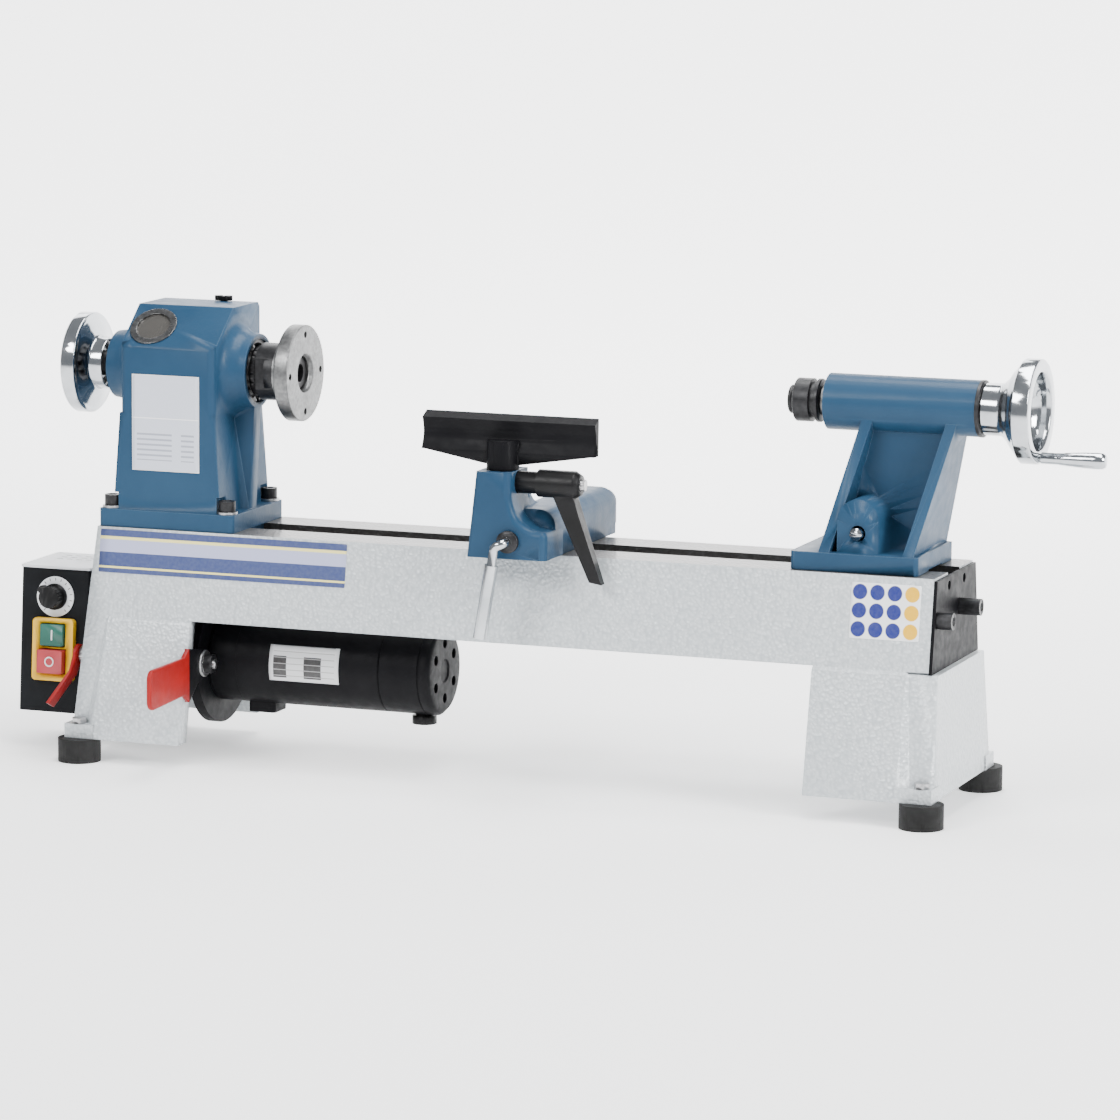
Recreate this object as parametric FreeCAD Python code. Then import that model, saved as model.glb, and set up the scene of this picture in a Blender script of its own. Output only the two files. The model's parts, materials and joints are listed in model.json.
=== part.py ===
import FreeCAD, Part
import math
import os

# Benchtop wood lathe, in millimetres.
#
# Everything is first built on the bed's own datum: X runs from the headstock to the tailstock
# with 0 at the middle of the bed, Y runs from the operator to the back with 0 on the spindle
# axis, and Z is up from the bench. save() then moves each piece by DATUM, which puts the origin
# at the middle of the whole machine's box, on the bench.

V = FreeCAD.Vector

# ---------------------------------------------------------------- driving dimensions
DATUM = V(-25.0, 32.7, 0)       # from the bed's datum to the part's origin

# heights
FOOT_HEIGHT = 23.0              # rubber foot, and the underside of the legs
WAYS_Z = 227.0                  # top of the bed
CENTRE_HEIGHT = 152.5           # spindle axis above the bed: 305 mm swing
AXIS_Z = WAYS_Z + CENTRE_HEIGHT

# bed
BED_X0 = -425.0
BED_X1 = 425.0
WAYS_WIDTH = 128.0
SLOT_WIDTH = 38.0
BEAM_HEIGHT = 86.0
BEAM_SLOPE = 0.16               # outward lean of the beam's sides, mm per mm of drop
WALL = 9.0
WAYS_THICKNESS = 18.0
LEG_BOTTOM_HALF = 95.0          # half width of the leg's corner column at its foot
PANEL_BOTTOM_HALF = 106.0       # half width of the leg's raised panel at its foot
LEG_INNER_LEFT = -319.0
LEG_INNER_RIGHT = 313.0
LEG_END_RIGHT = 434.0
LEFT_END_SLOPE = 0.07           # outward lean of the left end
LEDGE_HEIGHT = 14.0             # pad that each foot bolts through
FOOT_RADIUS = 21.0
FOOT_Y = 100.0
FOOT_X_LEFT = -429.0
FOOT_X_RIGHT = 427.0
END_PLATE = 3.2                 # thickness of the steel end plate

# headstock
HEAD_X0 = -425.0
HEAD_X1 = -282.0
HEAD_BODY_X0 = -404.0
HEAD_BODY_X1 = -304.0
HEAD_BASE_HALF = 62.0
HEAD_BASE_THICKNESS = 17.5
HEAD_FRONT_Y = -57.0
HEAD_REAR_Y = 60.0
HEAD_KINK = 175.0               # where the front starts to slope back, above the ways
HEAD_TOP = 214.0
HEAD_WALL = 9.0
BORE_FRONT = 31.0               # radius of the 62 mm front bearing
BORE_REAR = 26.0                # radius of the 52 mm rear bearing
SPINDLE_R = 15.0
NOSE_R = 16.5                   # M33 nose
TAPER_MOUTH_R = 8.9             # Morse taper 2
TAPER_DEPTH = 64.0
TAPER_SLOPE = 0.025             # drop in radius per mm
FACE_X = -232.0                 # front of the faceplate
FACE_R = 47.0
FACE_HOLE_PCR = 37.5
FACE_HOLE_R = 3.25

# belt drive
BELT_X0 = -375.0
BELT_WIDTH = 12.0
BELT_THICKNESS = 4.0
BELT_GAP = 0.3
SPINDLE_PULLEY_R = 40.0
MOTOR_PULLEY_R = 17.0
STEP_CHANGE = 10.0              # difference in radius between the two steps of a pulley
MOTOR_Z = 96.0
MOTOR_R = 43.5
PIVOT_Y = 60.0                  # the motor's swing pivot, behind the motor
LOCK_Y = -62.0                  # the lock rod, in front of the motor
LOCK_Z = 98.0
SWING = 6.0                     # degrees that the motor lifts

# control box
BOX_X0 = -518.0
BOX_X1 = -444.0
BOX_Z0 = 36.0
BOX_Z1 = 178.0
BOX_FRONT_LOW = -52.0
BOX_FRONT_HIGH = -42.0
BOX_REAR = 42.0
SHEET = 2.0

# banjo and tool rest
POST_X = 6.0
POST_Y = -84.0
POST_R = 12.7
CAM_X = 21.0                    # the banjo's cam shaft
CAM_Z = WAYS_Z + 17.0
CLAMP_X = CAM_X                 # the banjo's clamp bolt
REST_Z = WAYS_Z + 98.0          # underside of the tool rest's bar

# tailstock
TAIL_X0 = 283.0
TAIL_X1 = 407.0
BARREL_X0 = 302.0
BARREL_X1 = 449.0
BARREL_R = 26.5
QUILL_R = 14.0
TAIL_CAM_X = 346.0
TAIL_CAM_Z = WAYS_Z + 36.0
CRANK_R = 43.0                  # the crank handle's distance from the wheel's axis
WHEEL_R = 49.0

NODES = {}


# ---------------------------------------------------------------- helpers
def block(x0, x1, y0, y1, z0, z1):
    return Part.makeBox(x1 - x0, y1 - y0, z1 - z0, V(x0, y0, z0))


def rod_x(x0, x1, y, z, r):
    return Part.makeCylinder(r, x1 - x0, V(x0, y, z), V(1, 0, 0))


def rod_y(y0, y1, x, z, r):
    return Part.makeCylinder(r, y1 - y0, V(x, y0, z), V(0, 1, 0))


def rod_z(z0, z1, x, y, r):
    return Part.makeCylinder(r, z1 - z0, V(x, y, z0), V(0, 0, 1))


def polygon(points):
    return Part.Face(Part.makePolygon(points + [points[0]]))


def slab_x(outline, x0, x1):
    """An outline of (y, z) points carried from x0 to x1."""
    return polygon([V(x0, y, z) for y, z in outline]).extrude(V(x1 - x0, 0, 0))


def slab_y(outline, y0, y1):
    """An outline of (x, z) points carried from y0 to y1."""
    return polygon([V(x, y0, z) for x, z in outline]).extrude(V(0, y1 - y0, 0))


def slab_z(outline, z0, z1):
    """An outline of (x, y) points carried from z0 to z1."""
    return polygon([V(x, y, z0) for x, y in outline]).extrude(V(0, 0, z1 - z0))


def turned_x(profile, y=0.0, z=AXIS_Z):
    """A turned piece: a closed profile of (x, radius) points spun about an X axis."""
    face = polygon([V(x, y, z + r) for x, r in profile])
    return face.revolve(V(0, y, z), V(1, 0, 0), 360)


def loft(sections):
    """A straight-sided solid through outlines of the same number of points."""
    wires = [Part.makePolygon([V(*p) for p in s + [s[0]]]) for s in sections]
    return Part.makeLoft(wires, True, True)


def rectangle(x0, x1, half, z):
    return [(x0, -half, z), (x1, -half, z), (x1, half, z), (x0, half, z)]


def join(*shapes):
    whole = shapes[0].fuse(list(shapes[1:])) if len(shapes) > 1 else shapes[0]
    return whole.removeSplitter()


def carve(shape, *tools):
    return shape.cut(list(tools))


def both_sides(shape):
    """The shape and its mirror image across the bed's centre plane."""
    return [shape, shape.mirror(V(0, 0, 0), V(0, 1, 0))]


def round_edges(shape, radius, wanted):
    """Rounds the straight edges for which wanted(direction, middle) is true."""
    chosen = []
    for edge in shape.Edges:
        if edge.Curve.TypeId != "Part::GeomLine":
            continue
        a, b = edge.Vertexes[0].Point, edge.Vertexes[-1].Point
        if wanted((b - a).normalize(), (a + b) * 0.5):
            chosen.append(edge)
    return shape.makeFillet(radius, chosen) if chosen else shape


def upright(direction, middle):
    return abs(direction.z) > 0.9


def hexagon_x(x0, x1, y, z, across_flats):
    r = across_flats / math.sqrt(3)
    corners = [(y + r * math.cos(math.radians(a)), z + r * math.sin(math.radians(a)))
               for a in range(0, 360, 60)]
    return slab_x(corners, x0, x1)


def bent_rod(points, radius, bend):
    """A round rod along straight runs joined by arcs of the given bend radius."""
    path = [V(*p) for p in points]
    edges = []
    start = path[0]
    for before, corner, after in zip(path, path[1:], path[2:]):
        u = (before - corner).normalize()
        w = (after - corner).normalize()
        half = 0.5 * u.getAngle(w)
        back = bend / math.tan(half)
        p, q = corner + u * back, corner + w * back
        middle = corner + (u + w).normalize() * (bend / math.sin(half) - bend)
        edges.append(Part.makeLine(start, p))
        edges.append(Part.Arc(p, middle, q).toShape())
        start = q
    edges.append(Part.makeLine(start, path[-1]))
    spine = Part.Wire(edges)
    circle = Part.Wire(Part.makeCircle(radius, path[0], path[1] - path[0]))
    return spine.makePipeShell([circle], True, True)


def save(name, *solids):
    """Keeps a piece, or a group of identical pieces, under its node's name."""
    shape = solids[0] if len(solids) == 1 else Part.makeCompound(list(solids))
    shape = shape.copy()
    shape.translate(DATUM)
    NODES[name] = shape


# ---------------------------------------------------------------- bed
def beam_half(z):
    return WAYS_WIDTH / 2 + BEAM_SLOPE * (WAYS_Z - z)


BEAM_Z = WAYS_Z - BEAM_HEIGHT
LEG_TOP_HALF = beam_half(BEAM_Z)


def left_end(z):
    return BED_X0 - LEFT_END_SLOPE * (WAYS_Z - z)


def leg_panel(x_in_top, x_in_foot, x_out_top, x_out_foot):
    """The raised panel on a leg's front: it stands proud of the corner column and its outer
    edge is chamfered by as much as it stands proud."""
    def plan(z, x_in, x_out, half, base):
        side = 1 if x_out > x_in else -1
        proud = half - base
        return [(x_in, -base + 2, z), (x_in, -half, z), (x_out, -half, z),
                (x_out + side * max(proud, 0.5), -base, z),
                (x_out + side * max(proud, 0.5), -base + 2, z)]

    top = plan(BEAM_Z, x_in_top, x_out_top, LEG_TOP_HALF + 0.4, LEG_TOP_HALF)
    lip = plan(BEAM_Z - 4, x_in_top, x_out_top, LEG_TOP_HALF + 4, LEG_TOP_HALF + 0.6)
    foot = plan(FOOT_HEIGHT, x_in_foot, x_out_foot, PANEL_BOTTOM_HALF, LEG_BOTTOM_HALF)
    return loft([foot, lip, top])


def bed():
    top_half = WAYS_WIDTH / 2
    z_foot = FOOT_HEIGHT
    z_ledge = FOOT_HEIGHT + LEDGE_HEIGHT
    shelf = BEAM_Z - 2
    x_foot_left = left_end(z_foot)
    beam = slab_x([(-top_half, WAYS_Z), (top_half, WAYS_Z), (LEG_TOP_HALF, BEAM_Z),
                   (-LEG_TOP_HALF, BEAM_Z)], LEG_INNER_LEFT - 1, BED_X1)
    left_top = loft([rectangle(left_end(BEAM_Z), LEG_INNER_LEFT, LEG_TOP_HALF, BEAM_Z),
                     rectangle(BED_X0, LEG_INNER_LEFT, top_half, WAYS_Z)])
    left_leg = loft([rectangle(x_foot_left, LEG_INNER_LEFT - 2, LEG_BOTTOM_HALF, z_foot),
                     rectangle(left_end(BEAM_Z), LEG_INNER_LEFT, LEG_TOP_HALF, BEAM_Z)])
    right_leg = loft([rectangle(LEG_INNER_RIGHT, LEG_END_RIGHT + 3, LEG_BOTTOM_HALF, z_foot),
                      rectangle(LEG_INNER_RIGHT, LEG_END_RIGHT, LEG_TOP_HALF, shelf)])
    panels = both_sides(leg_panel(LEG_INNER_LEFT, LEG_INNER_LEFT - 2, -406, -415))
    panels += both_sides(leg_panel(LEG_INNER_RIGHT, LEG_INNER_RIGHT, 403, 403))
    ledges = both_sides(block(x_foot_left - 3, -412, -PANEL_BOTTOM_HALF, -78, z_foot, z_ledge))
    ledges += both_sides(block(402, LEG_END_RIGHT + 4, -PANEL_BOTTOM_HALF, -78, z_foot, z_ledge))
    outer = join(beam, left_top, left_leg, right_leg, *panels, *ledges)

    under_ways = WAYS_Z - WAYS_THICKNESS
    low = z_foot - 1
    inner_low = LEG_BOTTOM_HALF - WALL
    inner_mid = LEG_TOP_HALF - WALL
    leg_room = loft([rectangle(left_end(low) + WALL, LEG_END_RIGHT - 7, inner_low, low),
                     rectangle(left_end(132) + WALL, LEG_END_RIGHT - 8, inner_mid + 1, 132)])
    beam_room = loft([rectangle(left_end(131) + WALL, BED_X1 - 10, inner_mid + 1, 131),
                      rectangle(BED_X0 + 8, BED_X1 - 10, beam_half(under_ways) - WALL, under_ways)])
    slot = block(-300, BED_X1 + 1, -SLOT_WIDTH / 2, SLOT_WIDTH / 2, under_ways - 1, WAYS_Z + 1)
    belt_way = block(-392, -322, -48, 48, under_ways - 1, WAYS_Z + 1)
    shell = carve(outer, leg_room, beam_room, slot, belt_way)

    # long boss that carries the motor's pivot pin
    pivot_boss = rod_x(left_end(MOTOR_Z) + 3, -338, PIVOT_Y, MOTOR_Z, 15)
    shell = join(shell, pivot_boss)
    pivot_hole = rod_x(-470, -337, PIVOT_Y, MOTOR_Z, 8.05)

    # slot that the lock rod swings in
    angle = -math.radians(SWING + 1.5)
    reach_y, reach_z = LOCK_Y - PIVOT_Y, LOCK_Z - MOTOR_Z
    end_y = PIVOT_Y + reach_y * math.cos(angle) - reach_z * math.sin(angle)
    end_z = MOTOR_Z + reach_y * math.sin(angle) + reach_z * math.cos(angle)
    r = 5.9
    lock_slot = join(rod_x(-450, -415, LOCK_Y, LOCK_Z - 1, r), rod_x(-450, -415, end_y, end_z, r),
                     slab_x([(LOCK_Y - r, LOCK_Z - 1), (LOCK_Y + r, LOCK_Z - 1),
                             (end_y + r, end_z), (end_y - r, end_z)], -450, -415))
    holes = [pivot_hole, lock_slot]
    for x in (FOOT_X_LEFT, FOOT_X_RIGHT):
        for y in (-FOOT_Y, FOOT_Y):
            holes.append(rod_z(z_foot - 1, z_ledge + 1, x, y, 4.2))
            holes.append(rod_z(z_ledge, z_ledge + 14, x, y, 8.5))
    for x, y in HEAD_BOLTS:
        holes.append(rod_z(under_ways - 5, WAYS_Z + 1, x, y, 5.1))
    for y, z in END_SCREWS:
        holes.append(rod_x(BED_X1 - 12, BED_X1 + 1, y, z, 5.1))
    for y in END_HOLES_Y:
        holes.append(rod_x(BED_X1 - 12, BED_X1 + 1, y, END_HOLES_Z, 3.4))
    save("bed_casting", carve(shell, *holes).removeSplitter())


HEAD_BOLTS = [(x, y) for x in (-414.5, -292.5) for y in (-51.0, 51.0)]
END_SCREWS = [(-61.0, WAYS_Z - 39), (12.0, WAYS_Z - 36)]
END_SCREW_LENGTHS = (15.0, 21.0)
END_HOLES_Y = (-25.0, 25.0)
END_HOLES_Z = WAYS_Z - 11.0


def end_plate():
    drop = 2.0
    z0 = BEAM_Z - 1.7
    outline = [(-beam_half(WAYS_Z - drop), WAYS_Z - drop), (beam_half(WAYS_Z - drop), WAYS_Z - drop),
               (beam_half(z0), z0), (-beam_half(z0), z0)]
    plate = slab_x(outline, BED_X1, BED_X1 + END_PLATE)
    tools = [rod_x(BED_X1 - 1, BED_X1 + 9, y, z, 5.1) for y, z in END_SCREWS]
    tools += [rod_x(BED_X1 - 1, BED_X1 + 9, y, END_HOLES_Z, 4.5) for y in END_HOLES_Y]
    save("bed_end_plate", carve(plate, *tools))

    screws = []
    for (y, z), length in zip(END_SCREWS, END_SCREW_LENGTHS):
        face = BED_X1 + END_PLATE
        head = rod_x(face, face + length, y, z, 8.0)
        shank = rod_x(BED_X1 - 9, face, y, z, 5.0)
        socket = hexagon_x(face + length - 6, face + length + 1, y, z, 8.0)
        screws.append(carve(join(head, shank), socket))
    save("end_plate_screws", *screws)


def feet():
    pads, bolts = [], []
    z_ledge = FOOT_HEIGHT + LEDGE_HEIGHT
    for x in (FOOT_X_LEFT, FOOT_X_RIGHT):
        for y in (-FOOT_Y, FOOT_Y):
            pad = rod_z(0, FOOT_HEIGHT, x, y, FOOT_RADIUS)
            pads.append(carve(pad, rod_z(FOOT_HEIGHT - 15, FOOT_HEIGHT + 1, x, y, 4.0)))
            shank = rod_z(FOOT_HEIGHT - 15, z_ledge, x, y, 4.0)
            head = Part.makePolygon([V(x + 7.5 * math.cos(math.radians(a)),
                                       y + 7.5 * math.sin(math.radians(a)), z_ledge)
                                     for a in range(0, 361, 60)])
            bolts.append(join(shank, Part.Face(head).extrude(V(0, 0, 5.5))))
    save("rubber_feet", *pads)
    save("foot_bolts", *bolts)


# ---------------------------------------------------------------- headstock
def headstock():
    z0 = WAYS_Z
    z_base = z0 + HEAD_BASE_THICKNESS
    z_flare = z0 + 112
    z_kink = z0 + HEAD_KINK
    z_top = z0 + HEAD_TOP
    x0, x1 = HEAD_BODY_X0, HEAD_BODY_X1
    yf, yr = HEAD_FRONT_Y, HEAD_REAR_Y
    upper = slab_x([(yf, z_flare), (yf, z_kink), (-10, z_top), (yr - 10, z_top), (yr, z_top - 10),
                    (yr, z_flare)], x0, x1)
    upper = round_edges(upper, 7, lambda d, m: abs(d.z) > 0.99)
    flare = loft([[(x0 - 7, yf, z_base), (x1 + 7, yf, z_base), (x1 + 7, yr, z_base), (x0 - 7, yr, z_base)],
                  [(x0, yf, z_flare), (x1, yf, z_flare), (x1, yr, z_flare), (x0, yr, z_flare)]])
    flare = round_edges(flare, 7, lambda d, m: abs(d.z) > 0.9)
    base = block(HEAD_X0, HEAD_X1, -HEAD_BASE_HALF, HEAD_BASE_HALF, z0, z_base)
    base = round_edges(base, 5, upright)
    tongue = block(-299, HEAD_X1 - 2, -SLOT_WIDTH / 2 + 0.2, SLOT_WIDTH / 2 - 0.2, z0 - 8, z0 + 1)
    front_boss = turned_x([(x1 - 2, 0), (x1 - 2, 50), (x1 + 6, 41), (x1 + 14, 37.5),
                           (-281, 36), (-281, 0)])
    rear_boss = turned_x([(x0 + 2, 0), (x0 + 2, 46), (x0 - 6, 38), (x0 - 14, 34.5),
                          (-430, 33), (-430, 0)])
    front_rib = slab_y([(x1 - 2, z_base - 2), (x1 + 16, z_base - 2), (x1 + 21, AXIS_Z - 33),
                        (x1 - 2, AXIS_Z - 33)], -9, 9)
    rear_rib = slab_y([(x0 + 2, z_base - 2), (x0 - 14, z_base - 2), (x0 - 20, AXIS_Z - 30),
                       (x0 + 2, AXIS_Z - 30)], -9, 9)
    solid = join(upper, flare, base, tongue, front_boss, rear_boss, front_rib, rear_rib)

    w = HEAD_WALL
    room = slab_x([(yf + w, z0 - 1), (yf + w, z_kink - 4), (-6, z_top - w), (yr - 16, z_top - w),
                   (yr - w, z_top - 18), (yr - w, z0 - 1)], x0 + w, x1 - w)
    access = block(-388, -320, yr - w - 1, yr + 1, z0 + 32, z0 + 190)
    tools = [room, access,
             rod_x(-301, -279, 0, AXIS_Z, BORE_FRONT), rod_x(x1 - w - 1, -279, 0, AXIS_Z, 27.0),
             rod_x(-432, -414, 0, AXIS_Z, BORE_REAR), rod_x(-432, x0 + w + 1, 0, AXIS_Z, 21.0),
             window_rod(-12, 5, 17.2), window_rod(-3, 5, 22.6),
             rod_z(z_top - 12, z_top + 1, KNOB_X, KNOB_Y, 3.1)]
    for x, y in HEAD_BOLTS:
        tools.append(rod_z(z0 - 1, z_base + 1, x, y, 5.4))
        tools.append(rod_z(z_base, z_base + 16, x, y, 10.6))
    save("headstock_casting", carve(solid, *tools).removeSplitter())


# the sloping face of the headstock, and the sight window on it
SLOPE_RUN = -10 - HEAD_FRONT_Y
SLOPE_RISE = HEAD_TOP - HEAD_KINK
SLOPE_ANGLE = math.atan2(SLOPE_RUN, SLOPE_RISE)
WINDOW_AT = V(-378, (HEAD_FRONT_Y - 10) / 2, WAYS_Z + (HEAD_KINK + HEAD_TOP) / 2)
WINDOW_OUT = V(0, -math.cos(SLOPE_ANGLE), math.sin(SLOPE_ANGLE))
KNOB_X = -338.0
KNOB_Y = 44.0


def window_rod(a, b, r):
    """A cylinder square to the sloping face, from a to b mm above it."""
    return Part.makeCylinder(r, b - a, WINDOW_AT + WINDOW_OUT * a, WINDOW_OUT)


def window():
    ring = carve(join(window_rod(-3, 0, 22.5), window_rod(0, 1.4, 23.5)), window_rod(-4, 3, 17.0))
    glass = window_rod(-3, -0.6, 17.0)
    save("sight_window_ring", ring)
    save("sight_window_glass", glass)


def headstock_fasteners():
    bolts, washers = [], []
    z = WAYS_Z + HEAD_BASE_THICKNESS
    for x, y in HEAD_BOLTS:
        washers.append(carve(rod_z(z, z + 2.4, x, y, 10.0), rod_z(z - 1, z + 4, x, y, 5.25)))
        head = rod_z(z + 2.4, z + 12.8, x, y, 8.0)
        shank = rod_z(WAYS_Z - WAYS_THICKNESS - 4, z + 2.4, x, y, 5.0)
        socket = rod_z(z + 7, z + 14, x, y, 4.4)
        bolts.append(carve(join(head, shank), socket))
    save("headstock_bolts", *bolts)
    save("headstock_washers", *washers)


def data_plate():
    y = HEAD_FRONT_Y
    save("headstock_data_plate", block(-390.5, -319.5, y - 0.8, y, WAYS_Z + 56.5, WAYS_Z + 150.5))


def rear_cover():
    """Sheet door over the belt opening, with a rolled hinge knuckle down its left edge."""
    y0 = HEAD_REAR_Y + 0.4
    door = block(-394, -314, y0, y0 + 2.5, WAYS_Z + 24, WAYS_Z + 197)
    door = round_edges(door, 6, lambda d, m: abs(d.y) > 0.9)
    rim = block(-385, -323, y0 - 4, y0 + 1, WAYS_Z + 36, WAYS_Z + 186)
    rim = carve(rim, block(-383, -325, y0 - 5, y0 + 2, WAYS_Z + 38, WAYS_Z + 184))
    knuckle = rod_z(WAYS_Z + 50, WAYS_Z + 170, -396.5, y0 + 3.2, 3.2)
    pull = round_edges(block(-326, -319, y0 + 2, y0 + 10, WAYS_Z + 95, WAYS_Z + 125), 2, upright)
    save("rear_belt_cover", join(door, rim, knuckle, pull))


def cover_knob():
    """Two-lobed wing screw in the top of the casing, over the door's upper edge."""
    z = WAYS_Z + HEAD_TOP
    stem = rod_z(z + 0.4, z + 5.0, KNOB_X, KNOB_Y, 4.2)
    screw = rod_z(z - 10, z + 1, KNOB_X, KNOB_Y, 3.0)
    lobes = [rod_z(z + 1, z + 5.5, KNOB_X + s * 5.0, KNOB_Y, 4.2) for s in (-1, 1)]
    save("belt_cover_knob", join(stem, screw, *lobes))


def bearing(name, x0, x1, outer, inner, balls):
    """A ball bearing: outer ring, inner ring and a row of balls, as separate solids."""
    pitch = (outer + inner) / 2
    ball_r = (outer - inner) * 0.30
    mid = (x0 + x1) / 2
    outer_ring = turned_x([(x0, outer), (x1, outer), (x1, pitch + ball_r + 0.05),
                           (x0, pitch + ball_r + 0.05)])
    inner_ring = turned_x([(x0, inner), (x1, inner), (x1, pitch - ball_r - 0.05),
                           (x0, pitch - ball_r - 0.05)])
    row = []
    for i in range(balls):
        a = 2 * math.pi * i / balls
        centre = V(mid, pitch * math.cos(a), AXIS_Z + pitch * math.sin(a))
        row.append(Part.makeSphere(ball_r, centre))
    save(name, outer_ring, inner_ring, *row)


def circlip():
    """Internal circlip with its gap at the bottom, in front of the front bearing."""
    ring = turned_x([(-284.4, BORE_FRONT), (-282.9, BORE_FRONT), (-282.9, 27.5), (-284.4, 27.5)])
    gap = block(-286, -281, -4, 4, AXIS_Z - 40, AXIS_Z - 20)
    ears = [rod_x(-284.4, -282.9, s * 6.5, AXIS_Z - 26.6, 2.6) for s in (-1, 1)]
    save("bearing_circlip", join(carve(ring, gap), *ears))


def spindle():
    mouth = -238.0
    throat = mouth - TAPER_DEPTH
    throat_r = TAPER_MOUTH_R - TAPER_SLOPE * TAPER_DEPTH
    body = turned_x([(-470, 5), (-470, 10), (-439, 10), (-439, 12.47), (-411, 12.47),
                     (-411, SPINDLE_R - 0.03), (-281.5, SPINDLE_R - 0.03), (-281.5, 24.5), (-275, 24.5),
                     (-275, NOSE_R), (mouth - 1.5, NOSE_R), (mouth, NOSE_R - 1.5),
                     (mouth, TAPER_MOUTH_R), (throat, throat_r), (throat - 1, 5)])
    index_hole = rod_z(AXIS_Z + 14, AXIS_Z + 30, -278.2, 0, 1.6)
    save("spindle", carve(body, index_hole))

    plate = turned_x([(-274.9, NOSE_R + 0.05), (-274.9, 28), (-246, 28), (-246, FACE_R - 1),
                      (-245, FACE_R), (-233, FACE_R), (FACE_X, FACE_R - 1), (FACE_X, 19.5),
                      (-236, NOSE_R + 0.5), (-236, NOSE_R + 0.05)])
    tools = []
    for i in range(4):
        a = math.radians(90 * i)
        tools.append(rod_x(-250, FACE_X + 1, FACE_HOLE_PCR * math.cos(a),
                           AXIS_Z + FACE_HOLE_PCR * math.sin(a), FACE_HOLE_R))
    for side in (-1, 1):
        tools.append(block(-276, -265, side * 27 - 3, side * 27 + 3, AXIS_Z - 30, AXIS_Z + 30))
    save("faceplate", carve(plate, *tools))

    wheel = turned_x([(-439.2, 10), (-439.2, 24.5), (-440.2, 25.5), (-450.5, 25.5), (-452, 27.5),
                      (-454, 33), (-456, 40), (-457.6, 45.5), (-457.6, 48.4), (-459, 49.4),
                      (-470.5, 49.4), (-472, 48), (-472, 42), (-470, 39.5), (-464, 37), (-459.5, 31),
                      (-457, 22), (-456.5, 18), (-468, 17), (-468, 10)])
    save("outboard_handwheel", wheel)


def stepped_pulley(name, z, first, second, bore):
    """Two belt steps with a flange at each end and between them."""
    x = BELT_X0
    run = BELT_WIDTH + 1.0
    lip = 4.5
    profile = [(x - 2.5, bore), (x - 2.5, first + lip), (x - 0.5, first + lip), (x - 0.5, first),
               (x - 0.5 + run, first), (x - 0.5 + run, max(first, second) + lip),
               (x + 1.5 + run, max(first, second) + lip), (x + 1.5 + run, second),
               (x + 1.5 + 2 * run, second), (x + 1.5 + 2 * run, second + lip),
               (x + 3.5 + 2 * run, second + lip), (x + 3.5 + 2 * run, bore)]
    save(name, turned_x(profile, z=z))


def drive_belt():
    """Flat loop round the first step of both pulleys: two arcs joined by two tangents."""
    span = AXIS_Z - MOTOR_Z

    def outline(x, grow):
        big, small = SPINDLE_PULLEY_R + grow, MOTOR_PULLEY_R + grow
        lean = math.asin((big - small) / span)
        c, s = math.cos(lean), math.sin(lean)
        top_r, top_l = V(x, big * c, AXIS_Z - big * s), V(x, -big * c, AXIS_Z - big * s)
        low_r, low_l = V(x, small * c, MOTOR_Z - small * s), V(x, -small * c, MOTOR_Z - small * s)
        return Part.Wire([Part.Arc(top_r, V(x, 0, AXIS_Z + big), top_l).toShape(),
                          Part.makeLine(top_l, low_l),
                          Part.Arc(low_l, V(x, 0, MOTOR_Z - small), low_r).toShape(),
                          Part.makeLine(low_r, top_r)])

    along = V(BELT_WIDTH, 0, 0)
    outer = Part.Face(outline(BELT_X0, BELT_GAP + BELT_THICKNESS)).extrude(along)
    inner = Part.Face(outline(BELT_X0, BELT_GAP)).extrude(along)
    save("drive_belt", outer.cut(inner))


# ---------------------------------------------------------------- motor
MOUNT_X0 = -328.0
MOUNT_X1 = -317.6
CAP_X = -288.0
BRUSH_X = -137.0
MOTOR_END = -85.0
SHAFT_R = 7.0


def motor_mount():
    disc = rod_x(MOUNT_X0, MOUNT_X1, 0, MOTOR_Z, 66)
    rear_ear = join(rod_x(MOUNT_X0, MOUNT_X1, PIVOT_Y, MOTOR_Z, 13),
                    block(MOUNT_X0, MOUNT_X1, 0, PIVOT_Y, MOTOR_Z - 13, MOTOR_Z + 13))
    front_ear = rod_x(MOUNT_X0, MOUNT_X1, LOCK_Y, LOCK_Z, 10)
    plate = join(disc, rear_ear, front_ear)
    holes = [rod_x(-330, -316, 0, MOTOR_Z, 12), rod_x(-330, -316, LOCK_Y, LOCK_Z, 5.1),
             rod_x(-330, -316, PIVOT_Y, MOTOR_Z, 8.0)]
    save("motor_mount_plate", carve(plate, *holes))
    pin = join(rod_x(left_end(MOTOR_Z) - 1.5, MOUNT_X1, PIVOT_Y, MOTOR_Z, 8.0),
               rod_x(-336.5, MOUNT_X0, PIVOT_Y, MOTOR_Z, 12))
    save("motor_pivot_pin", pin)


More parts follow.
